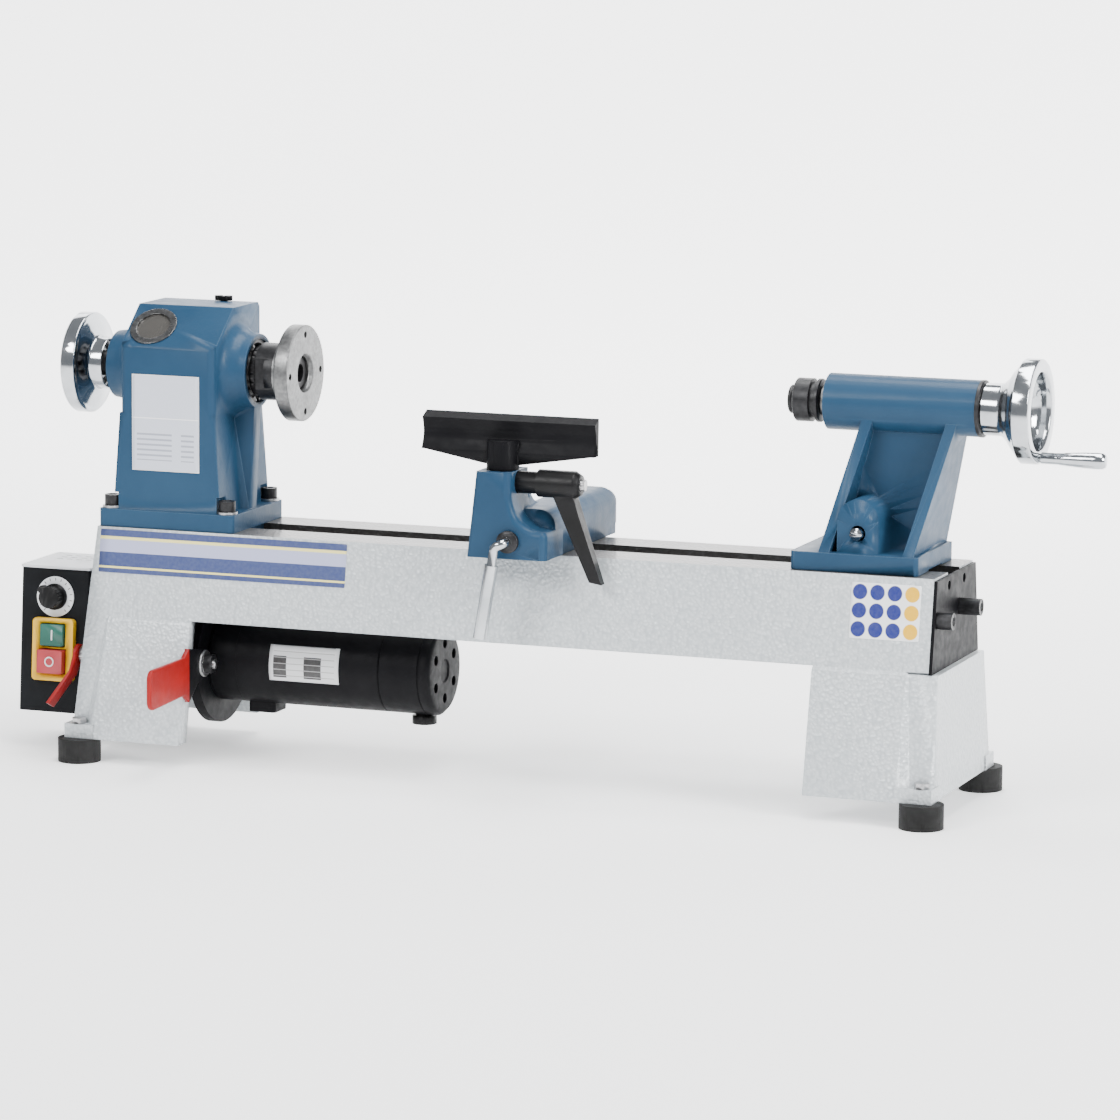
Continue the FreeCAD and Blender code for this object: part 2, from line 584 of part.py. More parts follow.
def motor():
    r = MOTOR_R
    drive_cap = turned_x([(MOUNT_X1, SHAFT_R + 0.06), (MOUNT_X1, r - 1.5), (MOUNT_X1 + 1.5, r),
                          (CAP_X, r), (CAP_X, r - 5), (CAP_X - 8, r - 5), (CAP_X - 8, 18),
                          (CAP_X - 2, 16), (CAP_X - 2, SHAFT_R + 0.06)], z=MOTOR_Z)
    save("motor_drive_end_cap", drive_cap)

    can = turned_x([(CAP_X, r - 4), (CAP_X, r), (BRUSH_X - 2, r), (BRUSH_X - 2, r - 1),
                    (BRUSH_X, r - 1), (BRUSH_X, r - 4)], z=MOTOR_Z)
    lead_box = round_edges(block(-300 + 14, -258, -15, 15, MOTOR_Z - r - 8, MOTOR_Z - r + 3), 3, upright)
    save("motor_housing", join(can, carve(lead_box, rod_x(-300, -250, 0, MOTOR_Z, r - 2))))

    ring = MOTOR_END - 11
    brush_cap = turned_x([(BRUSH_X, r - 6), (BRUSH_X, r), (ring - 2, r), (ring - 2, r - 1.2), (ring, r - 1.2),
                          (ring, r), (MOTOR_END - 4, r), (MOTOR_END, r - 4), (MOTOR_END, 12),
                          (MOTOR_END - 1.5, 11), (MOTOR_END - 1.5, 0), (MOTOR_END - 5, 0),
                          (MOTOR_END - 5, r - 6)], z=MOTOR_Z)
    hub = turned_x([(MOTOR_END - 18, SHAFT_R + 0.06), (MOTOR_END - 18, 13), (MOTOR_END - 4, 13),
                    (MOTOR_END - 4, SHAFT_R + 0.06)], z=MOTOR_Z)
    ports = [rod_z(MOTOR_Z - 60, MOTOR_Z + 60, MOTOR_END - 21, 0, 9.0)]
    for i in range(6):
        a = math.radians(30 + 60 * i)
        ports.append(rod_x(MOTOR_END - 8, MOTOR_END + 1, 27 * math.cos(a),
                           MOTOR_Z + 27 * math.sin(a), 5.0))
    save("motor_brush_end_cap", carve(join(brush_cap, hub), *ports))

    caps = []
    for side in (-1, 1):
        low = MOTOR_Z + (side * 38 if side > 0 else -53)
        cap = rod_z(low, low + 15, MOTOR_END - 21, 0, 9.0)
        flange_low = MOTOR_Z + (45 if side > 0 else -53)
        flange = rod_z(flange_low, flange_low + 8, MOTOR_END - 21, 0, 12.0)
        flange = carve(flange, rod_x(MOTOR_END - 60, MOTOR_END + 1, 0, MOTOR_Z, r + 0.02))
        slit = block(MOTOR_END - 40, MOTOR_END, -1, 1, MOTOR_Z + side * 53 - 2, MOTOR_Z + side * 53 + 2)
        caps.append(carve(join(cap, flange), slit))
    save("motor_brush_caps", *caps)

    armature = turned_x([(-396, 0), (-396, SHAFT_R), (-268, SHAFT_R), (-268, 10), (-262, 10),
                         (-262, 26), (-172, 26), (-172, 15), (-132, 15), (-132, SHAFT_R),
                         (MOTOR_END - 6, SHAFT_R), (MOTOR_END - 6, 0)], z=MOTOR_Z)
    save("motor_armature", armature)


LEVER_X0 = MOUNT_X1
LEVER_X1 = MOUNT_X1 + 5.0
PADDLE_TIP_Y = -186.5
PADDLE_ROOT_Y = -97.0


def motor_levers():
    # lift lever: a flat rounded paddle that reaches forward past the leg, on a flared root
    outline = [(PADDLE_TIP_Y, 110), (PADDLE_TIP_Y, 70.5), (-108, 73), (PADDLE_ROOT_Y, 65)]
    paddle = slab_x(outline + [(PADDLE_ROOT_Y, 117.5), (-108, 110)], LEVER_X0, LEVER_X1)
    paddle = round_edges(paddle, 9, lambda d, m: abs(d.x) > 0.9 and m.y < PADDLE_ROOT_Y - 1)
    rims = [e for e in paddle.Edges if e.CenterOfMass.y < PADDLE_ROOT_Y - 1
            and all(v.Point.x in (LEVER_X0, LEVER_X1) for v in e.Vertexes)
            and abs(e.Vertexes[0].Point.x - e.Vertexes[-1].Point.x) < 1e-6]
    paddle = paddle.makeFillet(2.0, rims)
    root = slab_x([(PADDLE_ROOT_Y, 117.5), (-78, 114), (-62, 112), (-50, 106), (-47, 98), (-50, 90),
                   (-62, 84), (-78, 80), (PADDLE_ROOT_Y, 65)], LEVER_X0, LEVER_X1)
    lever = join(paddle, root)
    lever = carve(lever, rod_x(LEVER_X0 - 1, LEVER_X1 + 1, LOCK_Y, LOCK_Z, 5.1))
    save("motor_lift_lever", lever)

    washer = rod_x(LEVER_X1, LEVER_X1 + 2, LOCK_Y, LOCK_Z, 13)
    nut = hexagon_x(LEVER_X1 + 2, LEVER_X1 + 10, LOCK_Y, LOCK_Z, 17)
    save("lift_lever_nut", carve(join(washer, nut), rod_x(LEVER_X1 - 1, -295, LOCK_Y, LOCK_Z, 5.1)))

    # lock lever: a cross rod through the leg with a bent tab at its outer end
    rod = rod_x(-449, LEVER_X1 + 12, LOCK_Y, LOCK_Z, 5.0)
    collar = rod_x(left_end(LOCK_Z) - 9, left_end(LOCK_Z) - 1.6, LOCK_Y, LOCK_Z, 9.0)
    arm = loft([[(-449, -69, 103), (-445, -69, 103), (-445, -57, 97), (-449, -57, 97)],
                [(-451, -77, 84), (-447, -77, 84), (-447, -66, 79), (-451, -66, 79)]])
    tab = loft([[(-451, -77, 84), (-447, -77, 84), (-447, -66, 79), (-451, -66, 79)],
                [(-469, -92, 53), (-465, -93, 52), (-465, -82, 47), (-469, -81, 48)]])
    boss = rod_x(-449, -445, LOCK_Y, LOCK_Z, 10.0)
    save("belt_lock_lever", join(rod, collar, boss, arm, tab))


# ---------------------------------------------------------------- control box
PANEL_TILT = math.degrees(math.atan2(BOX_FRONT_HIGH - BOX_FRONT_LOW, BOX_Z1 - BOX_Z0))
PANEL_AT = V((BOX_X0 + BOX_X1) / 2, (BOX_FRONT_LOW + BOX_FRONT_HIGH) / 2, (BOX_Z0 + BOX_Z1) / 2)


def on_panel(shape):
    """Moves a shape from an upright panel at the origin, facing -Y, to the tilted front."""
    placed = shape.copy()
    placed.rotate(V(0, 0, 0), V(1, 0, 0), -PANEL_TILT)
    placed.translate(PANEL_AT)
    return placed


DIAL_X, DIAL_Z = 0.5, 43.5
KNOB_HEIGHT = 17.0
SWITCH_X, SWITCH_Z = 1.5, -8.5
SWITCH_W, SWITCH_H, SWITCH_PROUD = 44.0, 62.0, 7.0
START_Z, STOP_Z = 6.0, -20.0


def control_box():
    outline = [(BOX_FRONT_LOW, BOX_Z0), (BOX_FRONT_HIGH, BOX_Z1), (BOX_REAR, BOX_Z1), (BOX_REAR, BOX_Z0)]
    case = slab_x(outline, BOX_X0, BOX_X1)
    case = round_edges(case, 3, upright)
    room = slab_x([(BOX_FRONT_LOW + SHEET, BOX_Z0 + SHEET), (BOX_FRONT_HIGH + SHEET, BOX_Z1 + 1),
                   (BOX_REAR - SHEET, BOX_Z1 + 1), (BOX_REAR - SHEET, BOX_Z0 + SHEET)],
                  BOX_X0 + SHEET, BOX_X1 - SHEET)
    bracket = slab_y([(BOX_X1 - 1, 60), (BOX_X1 - 1, 160), (left_end(160), 160), (left_end(60), 60)], -30, 30)
    bracket = carve(bracket, block(BOX_X1, left_end(100) + 20, -26, 26, 70, 150))
    half_w, half_h = SWITCH_W / 2 - 4, SWITCH_H / 2 - 4
    tools = [room,
             on_panel(rod_y(-5, 5, DIAL_X, DIAL_Z, 5.0)),
             on_panel(block(SWITCH_X - half_w, SWITCH_X + half_w, -5, 5,
                            SWITCH_Z - half_h, SWITCH_Z + half_h)),
             rod_y(BOX_REAR - 5, BOX_REAR + 5, PANEL_AT.x, 62, 7.0)]
    save("control_box_housing", join(carve(case, *tools), bracket))

    lid = block(BOX_X0 - 0.8, BOX_X1 + 0.8, BOX_FRONT_HIGH - 1.5, BOX_REAR + 0.8, BOX_Z1, BOX_Z1 + 2.5)
    lid = round_edges(lid, 3, upright)
    vents = []
    for row in range(3):
        for column in range(5):
            x = BOX_X0 + 16 + 10.5 * column
            y = 2 + 11 * row
            vents.append(block(x, x + 7, y, y + 3, BOX_Z1 - 1, BOX_Z1 + 4))
    save("control_box_lid", carve(lid, *vents))

    dial = carve(rod_y(-1.0, 0, DIAL_X, DIAL_Z, 20.0), rod_y(-2, 1, DIAL_X, DIAL_Z, 5.0))
    save("dial_plate", on_panel(dial))

    skirt = rod_y(-4.5, -1.4, DIAL_X, DIAL_Z, 13.0)
    grip = rod_y(-KNOB_HEIGHT, -4.5, DIAL_X, DIAL_Z, 10.5)
    pointer = block(DIAL_X - 3, DIAL_X + 3, -KNOB_HEIGHT, -4.5, DIAL_Z, DIAL_Z + 14.5)
    spindle_stub = rod_y(-1.5, 14, DIAL_X, DIAL_Z, 3.0)
    knob = join(skirt, grip, pointer, spindle_stub)
    knob.rotate(V(DIAL_X, 0, DIAL_Z), V(0, 1, 0), -50)
    save("speed_knob", on_panel(knob))

    w, h = SWITCH_W / 2, SWITCH_H / 2
    body = block(SWITCH_X - w, SWITCH_X + w, -SWITCH_PROUD, 0, SWITCH_Z - h, SWITCH_Z + h)
    body = round_edges(body, 4, lambda d, m: abs(d.y) > 0.9)
    back = block(SWITCH_X - w + 4.5, SWITCH_X + w - 4.5, -1, 20, SWITCH_Z - h + 4.5, SWITCH_Z + h - 4.5)
    wells = [block(SWITCH_X - 13.6, SWITCH_X + 13.6, -SWITCH_PROUD - 1, 14, START_Z - 11.6, START_Z + 11.6),
             block(SWITCH_X - 14.6, SWITCH_X + 14.6, -SWITCH_PROUD - 1, 14, STOP_Z - 12.6, STOP_Z + 12.6)]
    save("switch_housing", on_panel(carve(join(body, back), *wells)))

    start = block(SWITCH_X - 12.6, SWITCH_X + 12.6, -SWITCH_PROUD - 2.5, 7, START_Z - 10.7, START_Z + 10.7)
    stop = block(SWITCH_X - 13.6, SWITCH_X + 13.6, -SWITCH_PROUD - 7.0, 7, STOP_Z - 11.6, STOP_Z + 11.6)
    save("start_button", on_panel(round_edges(start, 1.5, lambda d, m: abs(d.y) > 0.9)))
    save("stop_button", on_panel(round_edges(stop, 1.5, lambda d, m: abs(d.y) > 0.9)))

    gland_nut = carve(rod_y(BOX_REAR, BOX_REAR + 8, PANEL_AT.x, 62, 10.0), rod_y(30, 70, PANEL_AT.x, 62, 3.6))
    gland_dome = carve(rod_y(BOX_REAR + 8, BOX_REAR + 16, PANEL_AT.x, 62, 7.5), rod_y(30, 70, PANEL_AT.x, 62, 3.6))
    gland_thread = carve(rod_y(BOX_REAR - 7, BOX_REAR, PANEL_AT.x, 62, 6.9), rod_y(30, 70, PANEL_AT.x, 62, 3.6))
    save("cable_gland", join(gland_nut, gland_dome, gland_thread))


# ---------------------------------------------------------------- banjo and tool rest
BANJO_FRONT = -108.0
COLUMN_TOP = WAYS_Z + 82.0
COLUMN_RIGHT = 22.0
TOE_X = 58.0
TOE_TOP = WAYS_Z + 27.0
POST_HOLE_LOW = WAYS_Z + 27.5   # just over the cam shaft's bore
ARM_TOP = WAYS_Z + 45.0
ARM_X0, ARM_X1 = 3.0, 57.0
ARM_REAR = 98.0
SIT = 0.3                       # working clearance over the ways


def banjo():
    z0 = WAYS_Z + SIT
    # column: leans in a little on the left, and sweeps out to the toe on the right
    shoulder = V(COLUMN_RIGHT, BANJO_FRONT, WAYS_Z + 62)
    toe = V(TOE_X, BANJO_FRONT, TOE_TOP)
    sweep = Part.BSplineCurve()
    sweep.interpolate(Points=[shoulder, V(24.2, BANJO_FRONT, WAYS_Z + 49), V(30.5, BANJO_FRONT, WAYS_Z + 37),
                              V(42, BANJO_FRONT, WAYS_Z + 29.5), toe],
                      InitialTangent=V(0, 0, -1), FinalTangent=V(1, 0, -0.1))
    corners = [V(x, BANJO_FRONT, z) for x, z in ((COLUMN_RIGHT, COLUMN_TOP), (-13, COLUMN_TOP), (-22, z0),
                                                 (TOE_X, z0))]
    sides = [Part.makeLine(a, b) for a, b in zip([shoulder] + corners, corners + [toe])]
    column = Part.Face(Part.Wire([sweep.toShape()] + sides[::-1])).extrude(V(0, 48, 0))
    column = round_edges(column, 5, lambda d, m: abs(d.y) > 0.9 and m.x > TOE_X - 1 and m.z > z0 + 5)
    column = round_edges(column, 5, lambda d, m: abs(d.z) > 0.98 and m.y < BANJO_FRONT + 1 and m.x < 0)
    front_right = [e for e in column.Edges
                   if all(abs(v.Point.y - BANJO_FRONT) < 1e-6 for v in e.Vertexes)
                   and e.CenterOfMass.x > COLUMN_RIGHT - 1 and e.CenterOfMass.z < COLUMN_TOP - 1]
    column = column.makeFillet(6.5, front_right)
    arm = block(ARM_X0, ARM_X1, BANJO_FRONT + 30, ARM_REAR, z0, ARM_TOP)
    arm = round_edges(arm, 16, lambda d, m: abs(d.y) > 0.9 and m.z > WAYS_Z + 30)
    arm = round_edges(arm, 9, lambda d, m: abs(d.z) > 0.9 and m.y > 90)
    cap = block(ARM_X0 + 7, ARM_X1 - 7, ARM_REAR - 1, ARM_REAR + 14, WAYS_Z + 7, ARM_TOP - 5)
    cap = round_edges(cap, 12, lambda d, m: abs(d.y) > 0.9 and m.z > WAYS_Z + 30)
    heel = []
    for i in range(9):
        t = math.radians(90 * i / 8)
        heel.append((-28 - 30 * math.sin(t), ARM_TOP + 30 - 30 * math.cos(t)))
    gusset = slab_x([(-28, ARM_TOP - 12)] + heel + [(-62, ARM_TOP - 12)], ARM_X0, COLUMN_RIGHT)
    whole = join(column, arm, cap, gusset)

    tunnel = rod_y(BANJO_FRONT - 1, 90, CAM_X, CAM_Z, 9.2)
    travel = block(CLAMP_X - 7.5, CLAMP_X + 7.5, -60, 72, z0 - 1, CAM_Z)
    eye_room = block(CAM_X - 13.5, CAM_X + 13.5, -66, 84, z0 - 1, CAM_Z + 13.5)
    post_hole = rod_z(POST_HOLE_LOW, COLUMN_TOP + 1, POST_X, POST_Y, POST_R + 0.06)
    screw_hole = rod_x(POST_X + 5, 40, POST_Y, REST_SCREW_Z, 5.1)
    spot = rod_x(COLUMN_RIGHT - 1, 45, POST_Y, REST_SCREW_Z, 11.0)
    save("banjo_casting", carve(whole, tunnel, travel, eye_room, post_hole, screw_hole, spot).removeSplitter())


REST_SCREW_Z = WAYS_Z + 71.0


def banjo_clamp():
    """Eye bolt round the cam shaft, down through the bed's slot to a plate under the ways."""
    low = WAYS_Z - WAYS_THICKNESS
    eye = rod_y(-9, 9, CAM_X, CAM_Z, 12.5)
    shank = rod_z(low - 26, CAM_Z - 8, CLAMP_X, 0, 6.0)
    bolt = carve(join(eye, shank), rod_y(-12, 12, CAM_X, CAM_Z, 8.6))
    save("banjo_clamp_bolt", bolt)
    plate = round_edges(block(CLAMP_X - 30, CLAMP_X + 30, -33, 33, low - 13, low - 0.5), 6, upright)
    guide = block(CLAMP_X - 22, CLAMP_X + 22, -SLOT_WIDTH / 2 + 1.2, SLOT_WIDTH / 2 - 1.2, low - 1, low + 8)
    nut = rod_z(low - 23, low - 13, CLAMP_X, 0, 11.0)
    hole = rod_z(low - 30, low + 12, CLAMP_X, 0, 6.08)
    save("banjo_clamp_plate", carve(join(plate, guide, nut), hole))


def banjo_cam():
    shaft = rod_y(BANJO_FRONT - 4, 88, CAM_X, CAM_Z, 8.0)
    collar = rod_y(BANJO_FRONT - 5, BANJO_FRONT - 0.5, CAM_X, CAM_Z, 10.5)
    y = BANJO_FRONT - 14
    knee, tip = V(12.2, y, WAYS_Z + 13.5), V(-1.9, y, WAYS_Z - 74.2)
    handle = bent_rod([(CAM_X, BANJO_FRONT - 3, CAM_Z), (CAM_X, y, CAM_Z), tuple(knee), tuple(tip)], 4.5, 6.0)
    top = knee + (tip - knee) * 0.2
    sleeve = Part.makeCylinder(6.5, (tip - top).Length, top, tip - top)
    save("banjo_cam_lever", join(shaft, collar, handle, sleeve))


def tool_rest():
    save("tool_rest_post", rod_z(POST_HOLE_LOW + 0.5, COLUMN_TOP + 6, POST_X, POST_Y, POST_R))

    # bar: sloping top, hollowed front; each step of the outline follows a shallow arc
    front = []
    for i in range(7):
        t = i / 6
        front.append((-76 - 2 * t + 4.5 * math.sin(math.pi * t), REST_Z + 30 - 30 * t))
    outline = [(-65, REST_Z + 35.5)] + front + [(-66, REST_Z)]
    outline = [(y - 8, z) for y, z in outline]
    bar = slab_x(outline, -76, 98)
    collar = carve(rod_z(COLUMN_TOP + 0.4, REST_Z + 12, POST_X, POST_Y, 15.5),
                   block(-60, 80, POST_Y + 9.8, POST_Y + 40, COLUMN_TOP, REST_Z + 40))
    web = slab_y([(-76, REST_Z + 0.5), (98, REST_Z + 0.5), (POST_X + 18, COLUMN_TOP + 5),
                  (POST_X - 18, COLUMN_TOP + 5)], POST_Y - 2, POST_Y + 9.8)
    socket = rod_z(COLUMN_TOP - 5, COLUMN_TOP + 6.3, POST_X, POST_Y, POST_R + 0.05)
    save("tool_rest_bar", carve(join(bar, collar, web), socket))


def rest_clamp():
    z, y = REST_SCREW_Z, POST_Y
    stud = rod_x(POST_X + POST_R + 0.4, 46, y, z, 5.0)
    collar = rod_x(COLUMN_RIGHT - 0.8, 43, y, z, 10.6)
    hub = rod_x(43, 79, y, z, 13.2)
    nose = Part.makeCone(13.2, 9.5, 6, V(79, y, z), V(1, 0, 0))
    arm = loft([[(57, y - 8, z - 6), (77, y - 8, z - 6), (77, y + 8, z - 6), (57, y + 8, z - 6)],
                [(95, y - 5, z - 91), (107, y - 5, z - 93), (107, y + 5, z - 93), (95, y + 5, z - 91)]])
    screw = rod_x(85, 89, y, z, 5.5)
    save("rest_clamp_handle", join(stud, collar, hub, nose, arm, screw))


# ---------------------------------------------------------------- tailstock
def tailstock():
    z0 = WAYS_Z + SIT
    z_base = WAYS_Z + 17.5
    base = round_edges(block(TAIL_X0, TAIL_X1, -58.5, 58.5, z0, z_base), 4, upright)
    barrel = rod_x(BARREL_X0, BARREL_X1, 0, AXIS_Z, BARREL_R)

    def leaning(x_low, x_high, half_low, half_high):
        """A leaning plate: x_low and x_high are its (left, right) edges at foot and head."""
        z1 = AXIS_Z - 10
        return loft([[(x_low[0], -half_low, z_base - 1), (x_low[1], -half_low, z_base - 1),
                      (x_low[1], half_low, z_base - 1), (x_low[0], half_low, z_base - 1)],
                     [(x_high[0], -half_high, z1), (x_high[1], -half_high, z1),
                      (x_high[1], half_high, z1), (x_high[0], half_high, z1)]])

    left = leaning((309.5, 320), (340.5, 351), 56, 22)
    right = leaning((391, 401.5), (422, 432.5), 56, 22)
    web = leaning((314, 396), (345, 427), 9, 9)
    arch = join(slab_x([(-50, z_base - 1), (50, z_base - 1), (50, TAIL_CAM_Z + 12), (-50, TAIL_CAM_Z + 12)],
                       TAIL_CAM_X - 20, TAIL_CAM_X + 20),
                rod_y(-50, 50, TAIL_CAM_X, TAIL_CAM_Z + 12, 20))
    lock_boss = rod_y(0, 33, LOCK_SCREW_X, AXIS_Z, 10)
    whole = join(base, barrel, left, right, web, arch, lock_boss)
    tools = [rod_x(BARREL_X0 - 1, BARREL_X1 + 1, 0, AXIS_Z, QUILL_R + 0.05),
             rod_y(-51, 60, TAIL_CAM_X, TAIL_CAM_Z, 7.5),
             block(TAIL_CAM_X - 13, TAIL_CAM_X + 13, -11, 11, z0 - 1, TAIL_CAM_Z + 13),
             rod_y(5, 40, LOCK_SCREW_X, AXIS_Z, 4.1),
             block(TAIL_X0 - 1, TAIL_X1 + 1, -22, 22, z0 - 1, z0 + 1.5)]
    save("tailstock_casting", carve(whole, *tools).removeSplitter())

    cap = turned_x([(BARREL_X1, 8.08), (BARREL_X1, 26.8), (BARREL_X1 + 3, 26.8),
                    (BARREL_X1 + 4, 25.8), (BARREL_X1 + 4, 8.08)])
    save("thrust_collar", cap)


LOCK_SCREW_X = 392.0


def quill():
    mouth = 295.0
    throat = mouth + TAPER_DEPTH
    throat_r = TAPER_MOUTH_R - TAPER_SLOPE * TAPER_DEPTH
    body = turned_x([(mouth, TAPER_MOUTH_R), (mouth, QUILL_R - 1), (mouth + 1, QUILL_R), (440, QUILL_R),
                     (440, 8.6), (366, 8.6), (366, throat_r), (throat, throat_r)])
    save("tailstock_quill", body)
    screw = turned_x([(367, 0), (367, 8.0), (446, 8.0), (446, 13.5), (448.7, 13.5), (448.7, 8.0),
                      (486, 8.0), (486, 0)])
    save("quill_screw", screw)

    arbor_r = TAPER_MOUTH_R
    body = turned_x([(270, 6.1), (270, 19.5), (271, 20.5), (285.5, 20.5), (286, 17), (290.5, 17),
                     (291, 20.5), (294, 20.5), (294.9, 19.5), (294.9, arbor_r - 0.01),
                     (throat - 6, throat_r + 0.13), (throat - 6, 0), (292, 0), (292, 6.1)])
    save("live_centre_body", body)
    nose = turned_x([(291.5, 0), (291.5, 6.0), (269.7, 6.0), (269.7, 13.5), (264.5, 13.5), (263.5, 12.5),
                     (263.5, 10.5), (265.5, 9.5), (265.5, 3.5), (261.2, 0)])
    save("live_centre_nose", nose)


def tail_wheel():
    wheel = turned_x([(453.6, 8.0), (453.6, 23.5), (454.6, 24.5), (469, 24.5), (472, 26), (477, 31),
                      (482, 38), (487, 43.5), (489.5, 47), (491, 49), (504.5, WHEEL_R), (506, 47.5),
                      (506, 38), (504.5, 36.5), (494, 35), (488, 30), (484, 22), (483, 17),
                      (488, 16), (488, 8.0)])
    hole = rod_x(480, 510, 0, AXIS_Z - CRANK_R, 4.0)
    save("tailstock_handwheel", carve(wheel, hole))
    grip = turned_x([(494, 0), (494, 3.9), (506.6, 3.9), (506.6, 4.6), (507.4, 5.4), (522, 5.4), (530, 6.2),
                     (548, 7.4), (560, 7.8), (566, 7.4), (568.5, 5.5), (569, 3), (569, 0)],
                    z=AXIS_Z - CRANK_R)
    save("crank_handle", grip)


def tail_levers():
    shaft = rod_y(-56.5, 60, TAIL_CAM_X, TAIL_CAM_Z, 6.0)
    hub = rod_y(52, 66, TAIL_CAM_X, TAIL_CAM_Z, 11.0)
    tip = V(TAIL_CAM_X + 30, 68, TAIL_CAM_Z + 84)
    root = V(TAIL_CAM_X, 59, TAIL_CAM_Z)
    bar = Part.makeCylinder(5.0, (tip - root).Length, root, tip - root)
    save("tailstock_cam_lever", join(shaft, hub, bar, Part.makeSphere(10.0, tip)))

    low = WAYS_Z - WAYS_THICKNESS
    eye = rod_y(-9, 9, TAIL_CAM_X, TAIL_CAM_Z, 11.5)
    shank = rod_z(low - 26, TAIL_CAM_Z - 8, TAIL_CAM_X, 0, 6.0)
    save("tailstock_clamp_bolt", carve(join(eye, shank), rod_y(-12, 12, TAIL_CAM_X, TAIL_CAM_Z, 6.6)))
    plate = round_edges(block(TAIL_CAM_X - 30, TAIL_CAM_X + 30, -33, 33, low - 13, low - 0.5), 6, upright)
    nut = rod_z(low - 23, low - 13, TAIL_CAM_X, 0, 11.0)
    guide = block(TAIL_CAM_X - 22, TAIL_CAM_X + 22, -SLOT_WIDTH / 2 + 1.2, SLOT_WIDTH / 2 - 1.2, low - 1, low + 8)
    hole = rod_z(low - 30, low + 12, TAIL_CAM_X, 0, 6.0)
    save("tailstock_clamp_plate", carve(join(plate, nut, guide), hole))

    x = LOCK_SCREW_X
    screw = rod_y(QUILL_R + 0.4, 38, x, AXIS_Z, 4.0)
    cap = rod_y(33.5, 42, x, AXIS_Z, 7.0)
    end = V(x, 47, AXIS_Z - 42)
    start = V(x, 38, AXIS_Z)
    arm = Part.makeCylinder(3.2, (end - start).Length, start, end - start)
    save("quill_lock_lever", join(screw, cap, arm, Part.makeSphere(6.0, end)))


# ---------------------------------------------------------------- build and write
def build():
    bed()
    end_plate()
    feet()
    headstock()
    window()
    headstock_fasteners()
    data_plate()
    rear_cover()
    cover_knob()
    bearing("front_bearing", -300.6, -284.6, BORE_FRONT, SPINDLE_R, 9)
    bearing("rear_bearing", -429, -414, BORE_REAR, 12.5, 9)
    circlip()
    spindle()
    stepped_pulley("spindle_pulley", AXIS_Z, SPINDLE_PULLEY_R, SPINDLE_PULLEY_R - STEP_CHANGE, SPINDLE_R - 0.03)
    stepped_pulley("motor_pulley", MOTOR_Z, MOTOR_PULLEY_R, MOTOR_PULLEY_R + STEP_CHANGE, SHAFT_R)
    drive_belt()
    motor_mount()
    motor()
    motor_levers()
    control_box()
    banjo()
    banjo_clamp()
    banjo_cam()
    tool_rest()
    rest_clamp()
    tailstock()
    quill()
    tail_wheel()
    tail_levers()


def write():
    os.makedirs("parts", exist_ok=True)
    whole = FreeCAD.BoundBox()
    for name, shape in NODES.items():
        sound = shape.isValid() and all(s.isClosed() and s.Volume > 0 for s in shape.Solids)
        if not sound or not shape.Solids:
            print("CHECK", name, "is not a sound solid")
        shape.exportStep("parts/" + name + ".step")
        whole.add(shape.BoundBox)
        print(f"{name:26s} solids {len(shape.Solids):3d}  volume {shape.Volume / 1000:9.1f} cm3")
    print("nodes", len(NODES))
    print("box X %.1f %.1f  Y %.1f %.1f  Z %.1f %.1f" % (
        whole.XMin, whole.XMax, whole.YMin, whole.YMax, whole.ZMin, whole.ZMax))


build()
write()
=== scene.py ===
import json
import math

import bmesh
import bpy
import numpy as np
from mathutils import Matrix, Vector


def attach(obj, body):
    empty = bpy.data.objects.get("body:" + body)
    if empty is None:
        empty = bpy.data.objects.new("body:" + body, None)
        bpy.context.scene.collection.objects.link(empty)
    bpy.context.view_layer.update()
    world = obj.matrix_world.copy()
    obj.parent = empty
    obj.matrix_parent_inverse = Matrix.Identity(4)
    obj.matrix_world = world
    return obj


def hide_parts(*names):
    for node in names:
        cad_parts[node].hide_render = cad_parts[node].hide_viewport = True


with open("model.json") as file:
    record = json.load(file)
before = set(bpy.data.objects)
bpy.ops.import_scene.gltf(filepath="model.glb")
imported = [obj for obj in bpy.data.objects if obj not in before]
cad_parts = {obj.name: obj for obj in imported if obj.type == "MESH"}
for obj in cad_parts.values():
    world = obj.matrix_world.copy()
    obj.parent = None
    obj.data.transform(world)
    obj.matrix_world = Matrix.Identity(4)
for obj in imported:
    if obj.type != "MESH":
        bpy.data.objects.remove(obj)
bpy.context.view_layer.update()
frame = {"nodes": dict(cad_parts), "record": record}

# %% [markdown]
# A benchtop wood lathe. The imported model gives every piece in its real place, in metres. This
# lesson gives each piece its finish, eases the hard facets of the castings, and adds the thin
# things that a solid model leaves out, such as labels, dial marks and the marks on the keys.

# %% [markdown]
# The solid model was drawn from the middle of the bed, with X along the bed, Y towards the back
# and Z up. Its origin was then moved, so a place on the bed is turned into a place in the scene
# by adding the same shift. Writing places this way keeps the numbers readable in millimetres.

# %% Places in the bed's own millimetres
SHIFT = np.array([-25.0, 32.7, 0.0])
WAYS = 227.0
AXIS = WAYS + 152.5
MM = 0.001


def place(points):
    """Bed millimetres to scene metres: add the shift, then divide by a thousand."""
    return (np.asarray(points, dtype=float) + SHIFT) * MM


SPINDLE_AXIS = place((0, 0, AXIS))
MOTOR_AXIS = place((0, 0, 96))
print("spindle axis", SPINDLE_AXIS.round(4))

# %% [markdown]
# A surface is a grid of points: one direction of the grid runs along a profile, the other runs
# round it or along a path. The whole grid is worked out as one array, and its faces are worked
# out as an array of point numbers, so no point is visited one at a time.

# %% A mesh from a grid of points


